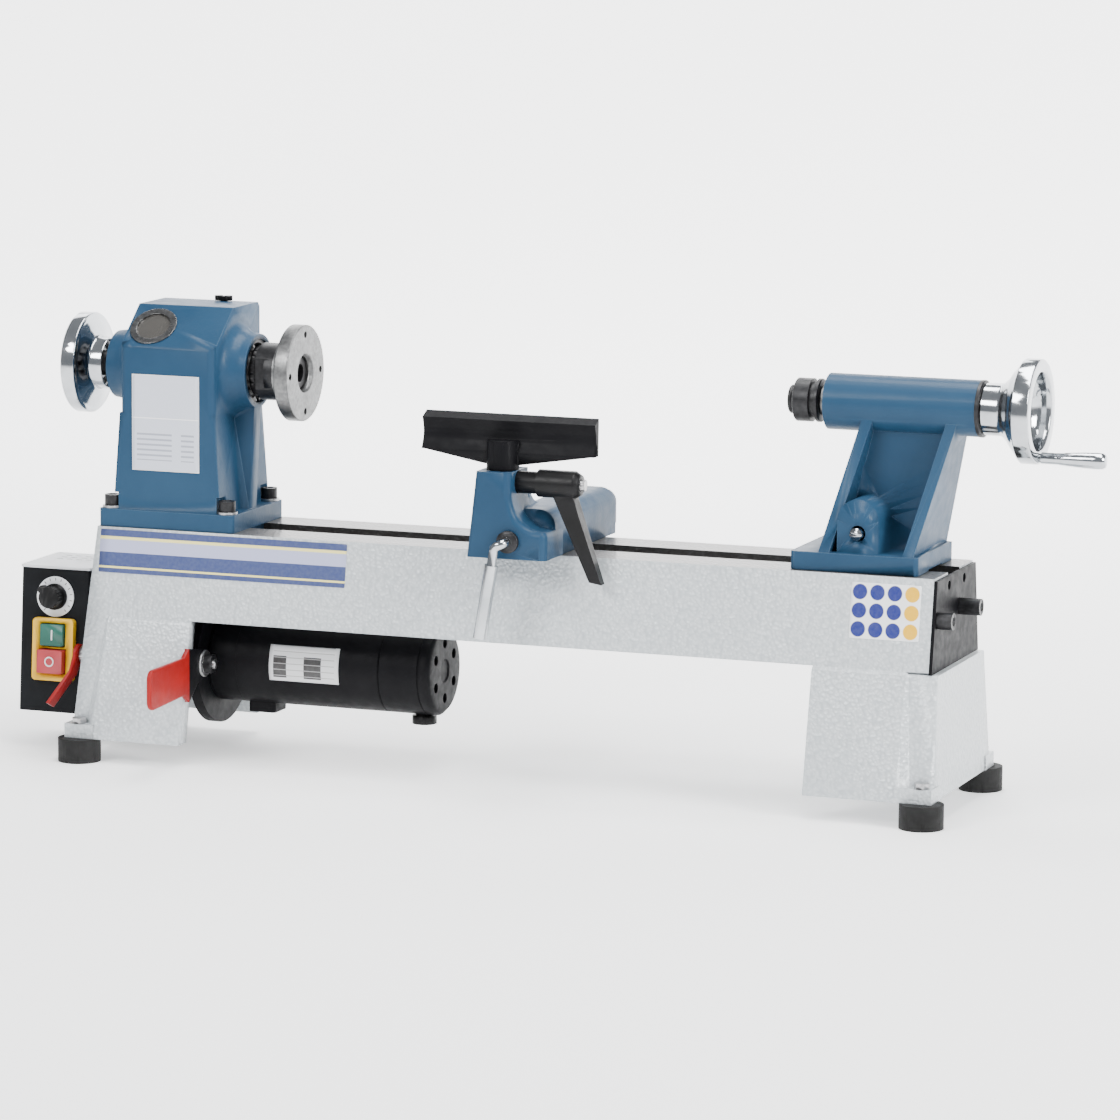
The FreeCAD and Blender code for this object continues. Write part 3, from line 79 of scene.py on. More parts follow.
def grid_piece(name, grid, body, wrap_u=False, wrap_v=False, smooth=True, heights=None):
    """A grid of points (rows, columns, 3) in metres as a mesh piece. Each face joins a point to
    its neighbour along the row, along the column, and to the one across. A wrapped direction
    joins its last points back to its first. Given each row's height from 0 to 1, the piece gets
    a UV map: across by column, and up by those heights."""
    rows, cols = grid.shape[:2]
    r = np.arange(rows if wrap_u else rows - 1)
    c = np.arange(cols if wrap_v else cols - 1)
    rr, cc = np.meshgrid(r, c, indexing="ij")
    r2, c2 = (rr + 1) % rows, (cc + 1) % cols
    faces = np.stack([rr * cols + cc, r2 * cols + cc, r2 * cols + c2, rr * cols + c2], -1).reshape(-1, 4)
    mesh = bpy.data.meshes.new(name)
    mesh.from_pydata(grid.reshape(-1, 3), [], faces)
    if heights is not None:
        layer = mesh.uv_layers.new(name="UVMap")
        corner = np.empty(len(mesh.loops), dtype=np.int32)
        mesh.loops.foreach_get("vertex_index", corner)
        flat = np.stack([(corner % cols) / (cols - 1), np.asarray(heights)[corner // cols]], -1)
        layer.data.foreach_set("uv", flat.astype(np.float32).ravel())
    tidy = bmesh.new()
    tidy.from_mesh(mesh)
    bmesh.ops.remove_doubles(tidy, verts=tidy.verts, dist=1e-6)
    bmesh.ops.recalc_face_normals(tidy, faces=tidy.faces)
    tidy.to_mesh(mesh)
    tidy.free()
    if smooth:
        mesh.shade_smooth()
        mesh.set_sharp_from_angle(angle=math.radians(38))
    piece = bpy.data.objects.new(name, mesh)
    bpy.context.scene.collection.objects.link(piece)
    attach(piece, body)
    return piece


def flat_label(name, low, high, depth, lean, radius, thickness, body):
    """A thin label on a face that looks towards the operator. Rows run up it. Each row's half
    width is shortened near the top and bottom by r - sqrt(r^2 - d^2), which rounds the corners.
    low and high are (x, z) corners, depth is y at the low corner, lean is y gained per mm up."""
    half = (high[0] - low[0]) / 2
    height = high[1] - low[1]
    s = np.sin(np.linspace(-math.pi / 2, math.pi / 2, 33)) * 0.5 + 0.5
    up = s * height
    d = np.clip(np.maximum(radius - up, up - (height - radius)), 0, radius)
    row_half = half - (radius - np.sqrt(radius ** 2 - d ** 2))
    across = np.linspace(-1, 1, 25)
    x = (low[0] + high[0]) / 2 + row_half[:, None] * across[None]
    z = np.repeat((low[1] + up)[:, None], 25, axis=1)
    y = depth + lean * (z - low[1])
    piece = grid_piece(name, place(np.stack([x, y, z], -1)), body, heights=s)
    flip_to_front(piece)
    wall = piece.modifiers.new("thickness", "SOLIDIFY")
    wall.thickness = thickness * MM
    wall.offset = 1.0
    return piece


def flip_to_front(piece):
    """Turns an open sheet's faces round if they look away from the operator (towards +Y)."""
    mesh = piece.data
    normals = np.empty(len(mesh.polygons) * 3, dtype=np.float32)
    mesh.polygons.foreach_get("normal", normals)
    if normals.reshape(-1, 3)[:, 1].mean() > 0:
        mesh.flip_normals()


# %% [markdown]
# Finishes. Each one is a Principled shader with detail from noise read in Object coordinates, so
# the grain stays still as the piece moves. Real edges are never perfectly sharp: the Bevel node
# bends the shading near an edge over a millimetre or so, which catches the light as paint does.

# %% Starting a finish


def new_finish(name, colour, metallic=0.0, roughness=0.4, coat=0.0, coat_roughness=0.1, shine=0.5):
    """A Principled material with its constant values on the shader's own sockets. The shine is
    how much it reflects when seen straight on: one half is ordinary plastic or paint."""
    material = bpy.data.materials.new(name)
    material.use_nodes = True
    shader = material.node_tree.nodes["Principled BSDF"]
    shader.inputs["Base Color"].default_value = (*colour, 1.0)
    shader.inputs["Metallic"].default_value = metallic
    shader.inputs["Roughness"].default_value = roughness
    shader.inputs["Coat Weight"].default_value = coat
    shader.inputs["Coat Roughness"].default_value = coat_roughness
    shader.inputs["Specular IOR Level"].default_value = shine
    material.diffuse_color = (*colour, 1.0)
    return material


def node(material, kind, **values):
    """Adds a node and sets its sockets and properties by name."""
    made = material.node_tree.nodes.new(kind)
    for key, value in values.items():
        if hasattr(made, key):
            setattr(made, key, value)
        else:
            made.inputs[key.replace("_", " ")].default_value = value
    return made


def join(material, source, target):
    """Links one socket to another."""
    material.node_tree.links.new(source, target)


def shader_of(material):
    """The finish's surface shader."""
    return material.node_tree.nodes["Principled BSDF"]


def object_place(material, scale=(1, 1, 1), origin=(0, 0, 0)):
    """Object coordinates, moved so that origin is at zero and stretched by scale."""
    coords = node(material, "ShaderNodeTexCoord")
    mapping = node(material, "ShaderNodeMapping")
    mapping.inputs["Location"].default_value = tuple(-o * s for o, s in zip(origin, scale))
    mapping.inputs["Scale"].default_value = scale
    join(material, coords.outputs["Object"], mapping.inputs["Vector"])
    return mapping.outputs["Vector"]


def speckle(material, scale, detail=3.0, stretch=(1, 1, 1)):
    """Noise with this many spots to the metre, as a value near one half."""
    noise = node(material, "ShaderNodeTexNoise", Scale=scale, Detail=detail)
    join(material, object_place(material, stretch), noise.inputs["Vector"])
    return noise.outputs["Fac"]


def span(material, value, low, high, from_low=0.3, from_high=0.7):
    """Stretches a value onto the range from low to high."""
    ranged = node(material, "ShaderNodeMapRange")
    ranged.inputs["From Min"].default_value = from_low
    ranged.inputs["From Max"].default_value = from_high
    ranged.inputs["To Min"].default_value = low
    ranged.inputs["To Max"].default_value = high
    join(material, value, ranged.inputs["Value"])
    return ranged.outputs["Result"]


def above(material, value, limit):
    """One where the value is greater than the limit, and zero elsewhere."""
    test = node(material, "ShaderNodeMath", operation="GREATER_THAN")
    test.inputs[1].default_value = limit
    join(material, value, test.inputs[0])
    return test.outputs["Value"]


def both(material, a, b):
    """The product of two values: one only where both are one."""
    product = node(material, "ShaderNodeMath", operation="MULTIPLY")
    join(material, a, product.inputs[0])
    join(material, b, product.inputs[1])
    return product.outputs["Value"]


def blend_colours(material, factor, dark, light):
    """A colour between dark and light; either may be a colour or another node's output."""
    mix = node(material, "ShaderNodeMix", data_type="RGBA")
    join(material, factor, mix.inputs["Factor"])
    for socket, colour in ((mix.inputs["A"], dark), (mix.inputs["B"], light)):
        if isinstance(colour, tuple):
            socket.default_value = (*colour, 1.0)
        else:
            join(material, colour, socket)
    return mix.outputs["Result"]


def relief(material, heights, edge=0.0012):
    """Stacks bumps, each a (value, depth in metres, strength), over softly rounded edges."""
    rounded = node(material, "ShaderNodeBevel", samples=4)
    rounded.inputs["Radius"].default_value = edge
    normal = rounded.outputs["Normal"]
    for value, depth, strength in heights:
        bump = node(material, "ShaderNodeBump", Strength=strength, Distance=depth)
        join(material, value, bump.inputs["Height"])
        join(material, normal, bump.inputs["Normal"])
        normal = bump.outputs["Normal"]
    join(material, normal, shader_of(material).inputs["Normal"])
    return normal


# %% [markdown]
# Casting enamel: a glossy steel blue over rough iron. The colour drifts a little over the
# casting, the gloss has orange peel about three millimetres across, and the edges are painted
# paler as a painted highlight. The edge is found by comparing the rounded normal with the true one.

# %% Blue enamel


def enamel(name, deep, pale, rim, peel=330.0):
    """Sprayed enamel: a slow drift between two blues, and rounded edges painted in the rim colour as a
    highlight.
    """
    material = new_finish(name, pale, roughness=0.40, coat=0.04, coat_roughness=0.10, shine=0.12)
    drift = span(material, speckle(material, 9, 4), 0, 1)
    colour = blend_colours(material, drift, deep, pale)
    rounded = node(material, "ShaderNodeBevel", samples=4)
    rounded.inputs["Radius"].default_value = 0.0016
    true = node(material, "ShaderNodeNewGeometry")
    same = node(material, "ShaderNodeVectorMath", operation="DOT_PRODUCT")
    join(material, rounded.outputs["Normal"], same.inputs[0])
    join(material, true.outputs["Normal"], same.inputs[1])
    # Painted highlight: rounded edges are lifted towards the paler rim colour.
    edge_highlight = span(material, same.outputs["Value"], 0.42, 0.0, 0.80, 0.985)
    colour = blend_colours(material, edge_highlight, colour, rim)
    join(material, colour, shader_of(material).inputs["Base Color"])
    gloss = span(material, speckle(material, 70, 3), 0.36, 0.46)
    join(material, gloss, shader_of(material).inputs["Roughness"])
    waves, skin = speckle(material, 45, 2), speckle(material, peel, 2)
    relief(material, [(waves, 0.0011, 0.16), (skin, 0.0004, 0.34)], 0.0016)
    return material


# The third colour is the painted highlight on the rounded edges.
BLUE = enamel("blue_enamel", (0.013, 0.042, 0.084), (0.019, 0.056, 0.106), (0.11, 0.19, 0.29))
print("blue enamel ready")

# %% [markdown]
# Hammered paint: a light grey metallic paint that pulls itself into shallow dimples a few
# millimetres across. Voronoi cells give the dimples, and the sunk joints between them are darker.
# The ways on top are ground bare steel, so the finish changes above the height of the ways, where
# the surface faces up.

# %% Hammered grey with ground ways


def hammered(name, dark, light, ways_height):
    """Dimpled paint on the casting, ground steel on the ways, and painted shade, near black, on the walls
    inside the gap between the ways.
    """
    material = new_finish(name, light, roughness=0.34, coat=0.25, coat_roughness=0.12)
    cells = node(material, "ShaderNodeTexVoronoi", feature="SMOOTH_F1", Scale=300.0)
    cells.inputs["Smoothness"].default_value = 0.55
    wobble = node(material, "ShaderNodeTexNoise", Scale=160.0, Detail=2.0)
    where = object_place(material)
    join(material, where, wobble.inputs["Vector"])
    bent = node(material, "ShaderNodeVectorMath", operation="MULTIPLY_ADD")
    bent.inputs[1].default_value = (0.0035, 0.0035, 0.0035)
    join(material, wobble.outputs["Color"], bent.inputs[0])
    join(material, where, bent.inputs[2])
    join(material, bent.outputs["Vector"], cells.inputs["Vector"])
    dimple = cells.outputs["Distance"]
    tone = span(material, dimple, 1, 0, 0.15, 0.75)
    paint = blend_colours(material, tone, dark, light)
    drift = span(material, speckle(material, 5, 3), 0.0, 0.35)
    paint = blend_colours(material, drift, paint, dark)

    height = node(material, "ShaderNodeSeparateXYZ")
    join(material, where, height.inputs["Vector"])
    facing = node(material, "ShaderNodeSeparateXYZ")
    geometry = node(material, "ShaderNodeNewGeometry")
    join(material, geometry.outputs["Normal"], facing.inputs["Vector"])
    bare = both(material, above(material, height.outputs["Z"], ways_height - 0.0004),
                above(material, facing.outputs["Z"], 0.9))
    grinding = speckle(material, 900, 2, (0.02, 1.0, 1.0))
    steel = blend_colours(material, span(material, grinding, 0, 1),
                          (0.080, 0.074, 0.070), (0.155, 0.145, 0.138))
    colour = blend_colours(material, bare, paint, steel)
    # Painted shade: the walls inside the gap between the ways, down to 60 mm below their top, are coloured
    # near black.
    sideways = node(material, "ShaderNodeMath", operation="ABSOLUTE")
    middle = node(material, "ShaderNodeMath", operation="SUBTRACT")
    middle.inputs[1].default_value = SHIFT[1] * MM
    join(material, height.outputs["Y"], middle.inputs[0])
    join(material, middle.outputs["Value"], sideways.inputs[0])
    painted_slot_shade = span(material, sideways.outputs["Value"], 1, 0, 0.0192, 0.0194)
    end_on = node(material, "ShaderNodeMath", operation="ABSOLUTE")
    join(material, facing.outputs["X"], end_on.inputs[0])
    painted_slot_shade = both(material, painted_slot_shade, span(material, end_on.outputs["Value"], 1, 0, 0.4, 0.5))
    painted_slot_shade = both(material, painted_slot_shade, above(material, height.outputs["Z"], ways_height - 0.06))
    colour = blend_colours(material, painted_slot_shade, colour, (0.018, 0.017, 0.016))
    join(material, colour, shader_of(material).inputs["Base Color"])
    join(material, span(material, bare, 0.12, 0.55, 0, 1), shader_of(material).inputs["Metallic"])
    fine = speckle(material, 900, 2)
    relief(material, [(dimple, 0.0012, 0.66), (fine, 0.0002, 0.12)], 0.0014)
    return material


GREY = hammered("hammered_grey", (0.44, 0.475, 0.495), (0.59, 0.62, 0.635), WAYS * MM)
print("hammered grey ready")

# %% [markdown]
# Bare and plated metal. Turned faces keep faint rings from the cutting tool, so their bump is a
# sine of the distance from the spindle axis. Chrome is nearly a mirror, with only a trace of haze.

# %% Metals


def rings_about(material, axis_point, per_metre):
    """A value that rises and falls with distance from an X axis through axis_point."""
    flat = object_place(material, (0, 1, 1), tuple(axis_point))
    reach = node(material, "ShaderNodeVectorMath", operation="LENGTH")
    join(material, flat, reach.inputs[0])
    turns = node(material, "ShaderNodeMath", operation="MULTIPLY")
    turns.inputs[1].default_value = per_metre * 2 * math.pi
    join(material, reach.outputs["Value"], turns.inputs[0])
    wave = node(material, "ShaderNodeMath", operation="SINE")
    join(material, turns.outputs["Value"], wave.inputs[0])
    return wave.outputs["Value"]


def bare_metal(name, dark, light, rough, axis_point=None, grain=260.0, metallic=1.0, edge=0.0008):
    """Unpainted metal: clouded between two tones, with its gloss varying over rough."""
    material = new_finish(name, light, metallic=metallic, roughness=sum(rough) / 2)
    cloud = speckle(material, grain, 4)
    join(material, blend_colours(material, span(material, cloud, 0, 1), dark, light),
         shader_of(material).inputs["Base Color"])
    gloss = span(material, speckle(material, grain * 0.3, 3), *rough)
    join(material, gloss, shader_of(material).inputs["Roughness"])
    heights = [(speckle(material, grain * 3, 2), 0.00015, 0.15)]
    if axis_point is not None:
        heights.append((rings_about(material, axis_point, 900), 0.00006, 0.5))
    relief(material, heights, edge)
    return material


CHROME = bare_metal("polished_chrome", (0.40, 0.42, 0.44), (0.54, 0.56, 0.58), (0.07, 0.15), grain=40)
STEEL = bare_metal("machined_steel", (0.13, 0.132, 0.132), (0.21, 0.212, 0.212), (0.34, 0.46), SPINDLE_AXIS)
PLAIN_STEEL = bare_metal("plain_steel", (0.34, 0.34, 0.34), (0.50, 0.50, 0.51), (0.28, 0.42))
DARK_STEEL = bare_metal("dark_steel", (0.14, 0.14, 0.14), (0.24, 0.24, 0.24), (0.22, 0.34))
ALLOY = bare_metal("cast_alloy", (0.46, 0.46, 0.47), (0.60, 0.60, 0.61), (0.30, 0.45), MOTOR_AXIS)
OXIDE = bare_metal("black_oxide", (0.006, 0.006, 0.007), (0.018, 0.018, 0.020), (0.34, 0.50),
                   SPINDLE_AXIS, metallic=0.4)
print("metals ready")

# %% [markdown]
# Paint, rubber and plastic. Powder coat has a fine pebble, rubber is dull with a fine tooth, and
# moulded plastic has a soft satin. Dipped vinyl is glossy and slightly lumpy, as it runs before
# it sets.

# %% Coatings and plastics


def coating(name, dark, light, rough, pebble, depth, coat=0.0, edge=0.0009, lump=0.0, shine=0.5):
    """Paint, plastic or rubber: mottled between two tones, with a fine pebbled relief."""
    material = new_finish(name, light, roughness=sum(rough) / 2, coat=coat, coat_roughness=0.1, shine=shine)
    join(material, blend_colours(material, span(material, speckle(material, 30, 4), 0, 1), dark, light),
         shader_of(material).inputs["Base Color"])
    join(material, span(material, speckle(material, 110, 3), *rough), shader_of(material).inputs["Roughness"])
    heights = [(speckle(material, pebble, 2), depth, 0.4)]
    if lump:
        heights.append((speckle(material, 55, 2), lump, 0.5))
    relief(material, heights, edge)
    return material


BLACK_PAINT = coating("black_satin_paint", (0.002, 0.002, 0.003), (0.005, 0.005, 0.006),
                      (0.42, 0.56), 600, 0.0002, shine=0.10)
BOX_PAINT = coating("slate_powder_coat", (0.003, 0.0035, 0.0045), (0.006, 0.007, 0.0085),
                    (0.48, 0.60), 1100, 0.0003, shine=0.12)
LID_PAINT = coating("pale_powder_coat", (0.60, 0.61, 0.63), (0.72, 0.73, 0.75), (0.38, 0.50), 1100, 0.0003)
RUBBER = coating("black_rubber", (0.004, 0.004, 0.004), (0.010, 0.010, 0.010), (0.60, 0.78),
                 1400, 0.0004, shine=0.3)
BLACK_PLASTIC = coating("black_moulding", (0.003, 0.003, 0.003), (0.007, 0.007, 0.008), (0.34, 0.46),
                        1600, 0.0002, shine=0.20)
YELLOW = coating("yellow_moulding", (0.66, 0.37, 0.010), (0.80, 0.47, 0.015), (0.30, 0.42), 1600, 0.0002)
GREEN = coating("green_key", (0.006, 0.070, 0.050), (0.010, 0.105, 0.075), (0.30, 0.42), 1600, 0.0002)
RED = coating("red_key", (0.30, 0.020, 0.028), (0.42, 0.032, 0.042), (0.32, 0.44), 1600, 0.0002)
VINYL = coating("dipped_red_vinyl", (0.20, 0.003, 0.003), (0.30, 0.006, 0.005), (0.36, 0.46),
                500, 0.0002, 0.0, 0.0015, 0.0003, shine=0.25)
SILVER_PLATE = coating("silver_plate", (0.62, 0.63, 0.65), (0.78, 0.79, 0.80), (0.34, 0.46), 900, 0.0001)


def clear_window(name):
    """Clear plastic with a trace of dust on it."""
    material = new_finish(name, (0.20, 0.19, 0.175), roughness=0.06)
    shader_of(material).inputs["Transmission Weight"].default_value = 0.75
    shader_of(material).inputs["IOR"].default_value = 1.49
    haze = span(material, speckle(material, 220, 3), 0.04, 0.14)
    join(material, haze, shader_of(material).inputs["Roughness"])
    return material


WINDOW = clear_window("clear_window")
print("coatings ready")

# %% [markdown]
# The model's own pieces come in as loose triangles with flat shading. For each one, a copy has
# its triangles joined, its curved faces shaded smooth and its creases kept sharp, and the copy
# takes the place of the original. The shape doesn't change.

# %% Joined and smoothly shaded copies
BODY_OF = {n: b for b, names in frame["record"]["behaviour"]["bodies"].items() for n in names}


def joined_copy(name, finish, crease=33.0, second=None):
    """The node's mesh with doubled points merged, smooth except over the crease angle. A second
    finish, given as (finish, axis, place, floor), covers the faces past that place along the axis
    and above the floor. Edges are added in the plane where it starts, which leaves the shape as
    it was."""
    mesh = frame["nodes"][name].data.copy()
    mesh.name = name + "_skin"
    work = bmesh.new()
    work.from_mesh(mesh)
    bmesh.ops.remove_doubles(work, verts=work.verts, dist=1e-5)
    if second:
        other, axis, start, floor = second
        plane = Vector([float(start) if i == axis else 0.0 for i in range(3)])
        across = Vector([1.0 if i == axis else 0.0 for i in range(3)])
        bmesh.ops.bisect_plane(work, geom=work.verts[:] + work.edges[:] + work.faces[:], dist=1e-6,
                               plane_co=plane, plane_no=across)
    work.to_mesh(mesh)
    work.free()
    mesh.shade_smooth()
    mesh.set_sharp_from_angle(angle=math.radians(crease))
    piece = bpy.data.objects.new(name + "_skin", mesh)
    bpy.context.scene.collection.objects.link(piece)
    even = piece.modifiers.new("even shading", "WEIGHTED_NORMAL")
    even.keep_sharp = True
    mesh.materials.clear()
    mesh.materials.append(finish)
    if second:
        mesh.materials.append(other)
        centres = np.empty(len(mesh.polygons) * 3, dtype=np.float32)
        mesh.polygons.foreach_get("center", centres)
        centres = centres.reshape(-1, 3)
        past = (centres[:, axis] > start) & (centres[:, 2] > floor)
        mesh.polygons.foreach_set("material_index", past.astype(np.int32))
    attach(piece, BODY_OF[name])
    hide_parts(name)
    return piece


FINISH_OF = {
    "bed_casting": GREY, "headstock_casting": BLUE, "banjo_casting": BLUE, "tailstock_casting": BLUE,
    "rear_belt_cover": BLUE, "bed_end_plate": BLACK_PAINT, "tool_rest_bar": BLACK_PAINT,
    "motor_mount_plate": BLACK_PAINT, "motor_drive_end_cap": BLACK_PAINT, "motor_housing": BLACK_PAINT,
    "motor_brush_end_cap": BLACK_PAINT, "end_plate_screws": OXIDE, "headstock_bolts": OXIDE,
    "spindle": OXIDE, "live_centre_body": OXIDE, "live_centre_nose": OXIDE, "thrust_collar": OXIDE,
    "bearing_circlip": OXIDE, "lift_lever_nut": PLAIN_STEEL, "rubber_feet": RUBBER, "drive_belt": RUBBER,
    "foot_bolts": PLAIN_STEEL, "sight_window_ring": DARK_STEEL, "headstock_washers": PLAIN_STEEL,
    "front_bearing": PLAIN_STEEL, "rear_bearing": PLAIN_STEEL, "faceplate": OXIDE,
    "motor_pivot_pin": PLAIN_STEEL, "motor_armature": PLAIN_STEEL, "banjo_clamp_bolt": PLAIN_STEEL,
    "banjo_clamp_plate": PLAIN_STEEL, "tool_rest_post": PLAIN_STEEL, "tailstock_quill": STEEL,
    "quill_screw": STEEL, "tailstock_clamp_bolt": PLAIN_STEEL, "tailstock_clamp_plate": PLAIN_STEEL,
    "outboard_handwheel": CHROME, "banjo_cam_lever": CHROME, "tailstock_handwheel": CHROME,
    "crank_handle": CHROME, "tailstock_cam_lever": CHROME, "quill_lock_lever": CHROME,
    "spindle_pulley": ALLOY, "motor_pulley": ALLOY, "motor_brush_caps": BLACK_PLASTIC,
    "belt_cover_knob": BLACK_PLASTIC, "speed_knob": BLACK_PLASTIC, "cable_gland": BLACK_PLASTIC,
    "dial_plate": SILVER_PLATE, "rest_clamp_handle": BLACK_PLASTIC, "motor_lift_lever": VINYL,
    "belt_lock_lever": VINYL, "control_box_housing": BOX_PAINT, "control_box_lid": LID_PAINT,
    "switch_housing": YELLOW, "start_button": GREEN, "stop_button": RED, "headstock_data_plate": SILVER_PLATE,
    "sight_window_glass": WINDOW,
}
X_AXIS, Y_AXIS = 0, 1
SECOND_FINISH = {}


def second_finish(name, finish, axis, start, floor=0.0):
    """Notes a second finish past a place on an axis and above a height, in bed millimetres."""
    at = place((start, start, floor))
    SECOND_FINISH[name] = (finish, axis, at[axis], at[2])


second_finish("motor_lift_lever", BLACK_PAINT, Y_AXIS, -97.0)       # black paint from this depth back
second_finish("belt_lock_lever", PLAIN_STEEL, X_AXIS, -444.9)       # and here, at the rod
second_finish("lift_lever_nut", OXIDE, X_AXIS, -310.5)              # a black nut on a bright washer
second_finish("rest_clamp_handle", PLAIN_STEEL, X_AXIS, 85.1, WAYS + 60)    # the screw in the hub
second_finish("banjo_cam_lever", OXIDE, Y_AXIS, -113.1)             # the black collar behind the elbow
second_finish("faceplate", STEEL, X_AXIS, -256.0)                   # ground disc, black hub
SKINS = {name: joined_copy(name, finish, second=SECOND_FINISH.get(name))
         for name, finish in FINISH_OF.items()}
print("joined", len(SKINS), "pieces of", len(frame["nodes"]))

# %% [markdown]
# Printed labels. The maker's stripe along the front of the bed is only colour here: bands of
# blue, cream and lavender with no lettering. Each label is a thin sheet with rounded corners,
# and its print reads the sheet's own UV map.

# %% Bands and ruled print


def repeating(material, value, count):
    """A value from 0 to 1 turned into one that climbs from 0 to 1 this many times."""
    many = node(material, "ShaderNodeMath", operation="MULTIPLY")
    many.inputs[1].default_value = count
    join(material, value, many.inputs[0])
    part = node(material, "ShaderNodeMath", operation="FRACT")
    join(material, many.outputs["Value"], part.inputs[0])
    return part.outputs["Value"]


def print_base(name, paper):
    """A paper finish with its UV place split into across and up."""
    material = new_finish(name, paper, roughness=0.36, coat=0.15)
    uv = node(material, "ShaderNodeTexCoord")
    parts = node(material, "ShaderNodeSeparateXYZ")
    join(material, uv.outputs["UV"], parts.inputs["Vector"])
    return material, parts.outputs["X"], parts.outputs["Y"]


def scuffed(material, colour):
    """Puts the print on the shader with faint scuffs over it."""
    scuffs = span(material, speckle(material, 300, 4), 0.0, 0.04)
    faded = blend_colours(material, scuffs, colour, (0.6, 0.6, 0.6))
    join(material, faded, shader_of(material).inputs["Base Color"])


def band_print(name, stops):
    """Flat bands up the label: each stop is (height from 0 to 1, colour)."""
    material, _, height = print_base(name, stops[0][1])
    ramp = node(material, "ShaderNodeValToRGB")
    ramp.color_ramp.interpolation = "CONSTANT"
    elements = ramp.color_ramp.elements
    elements[0].position, elements[0].color = stops[0][0], (*stops[0][1], 1)
    elements[1].position, elements[1].color = stops[1][0], (*stops[1][1], 1)
    for at, colour in stops[2:]:
        elements.new(at).color = (*colour, 1)
    join(material, height, ramp.inputs["Fac"])
    scuffed(material, ramp.outputs["Color"])
    return material


def ruled_print(name, paper, ink, rows, rules_above, columns=1, rules_below=1.0, dark_columns=False):
    """Ruled rows on paper, between two heights. Each row's rule is its top fifth. With dark
    columns, every other column is solid ink between the rules, like a blank form."""
    material, x, y = print_base(name, paper)
    rule = above(material, repeating(material, y, rows), 0.62)
    inside = both(material, above(material, y, rules_above + 0.10),
                  above(material, span(material, y, 1, 0, 0, 1), 1 - rules_below))
    inside = both(material, inside, above(material, span(material, x, 0, 1, 0.06, 0.94), 0.001))
    inside = both(material, inside, above(material, span(material, x, 1, 0, 0.06, 0.94), 0.001))
    if dark_columns:
        solid = above(material, span(material, repeating(material, x, columns / 2), 1, 0, 0, 1), 0.5)
        low = above(material, span(material, y, 1, 0, 0, 1), 0.30)
        colour = blend_colours(material, both(material, both(material, solid, low), inside), paper, ink)
        thin = both(material, above(material, repeating(material, y, rows), 0.88), inside)
        colour = blend_colours(material, thin, colour, (0.3, 0.3, 0.3))
    else:
        column = above(material, span(material, repeating(material, x, 1), 0, 1, 0, 1), 0.74)
        gap = above(material, x, 0.60)
        words = span(material, both(material, gap, span(material, column, 1, 0, 0, 1)), 1, 0, 0, 1)
        colour = blend_colours(material, both(material, both(material, rule, inside), words), paper, ink)
        line = both(material, above(material, y, 0.545),
                    above(material, span(material, y, 1, 0, 0, 1), 0.445))
        colour = blend_colours(material, line, colour, (0.85, 0.85, 0.86))
    scuffed(material, colour)
    return material


def disc_print(name, paper, ink, columns, rows, radius):
    """Plain discs in rows and columns: ink where the distance from a cell's middle is small."""
    material, x, y = print_base(name, paper)
    cell = node(material, "ShaderNodeCombineXYZ")
    for value, count, socket in ((x, columns, "X"), (y, rows, "Y")):
        centred = span(material, repeating(material, value, count), -0.5, 0.5, 0, 1)
        join(material, centred, cell.inputs[socket])
    reach = node(material, "ShaderNodeVectorMath", operation="LENGTH")
    join(material, cell.outputs["Vector"], reach.inputs[0])
    disc = span(material, reach.outputs["Value"], 1, 0, radius - 0.02, radius + 0.02)
    tint = blend_colours(material, above(material, x, 1 - 1 / columns), ink, (0.76, 0.42, 0.0))
    scuffed(material, blend_colours(material, disc, paper, tint))
    return material


STRIPE_BLUE, STRIPE_CREAM, STRIPE_PALE = (0.036, 0.055, 0.165), (0.80, 0.72, 0.27), (0.40, 0.42, 0.60)
STRIPE = band_print("stripe_print", [(0.0, STRIPE_BLUE), (0.105, STRIPE_CREAM), (0.15, STRIPE_BLUE),
                                     (0.476, STRIPE_PALE), (0.77, STRIPE_CREAM), (0.84, STRIPE_BLUE)])
PLATE_PRINT = ruled_print("plate_print", (0.55, 0.58, 0.66), (0.30, 0.32, 0.38), 18, 0.0, 1, rules_below=0.40)
NOTICE_PRINT = disc_print("notice_print", (0.82, 0.83, 0.84), (0.006, 0.014, 0.16), 4, 3, 0.42)
MOTOR_PRINT = ruled_print("motor_print", (0.62, 0.63, 0.64), (0.02, 0.02, 0.02), 6, 0.0, 4, dark_columns=True)
LEAN = 0.16                     # how far the bed's side leans in for each millimetre up


def bed_face(z):
    """The depth of the bed's front face at this height."""
    return -(64.0 + LEAN * (WAYS - z))


stripe = flat_label("bed_stripe", (-421, 183), (-161, 224.5), bed_face(183) - 0.05, LEAN, 1.0, 0.35, "stand")
stripe.data.materials.append(STRIPE)
notice = flat_label("bed_notice", (346, 168.8), (413.5, 220.2), bed_face(168.8) - 0.05,
                    LEAN, 1.5, 0.35, "stand")
notice.data.materials.append(NOTICE_PRINT)
plate = flat_label("headstock_plate_print", (-389.5, WAYS + 57.5), (-320.5, WAYS + 149.5), -57.85,
                   0.0, 2.0, 0.25, "stand")
plate.data.materials.append(PLATE_PRINT)
print("labels on")

# %% [markdown]
# The motor's label is wrapped on its round can: a patch of a cylinder, where one grid direction
# is the angle round the motor and the other runs along it.

# %% Motor label


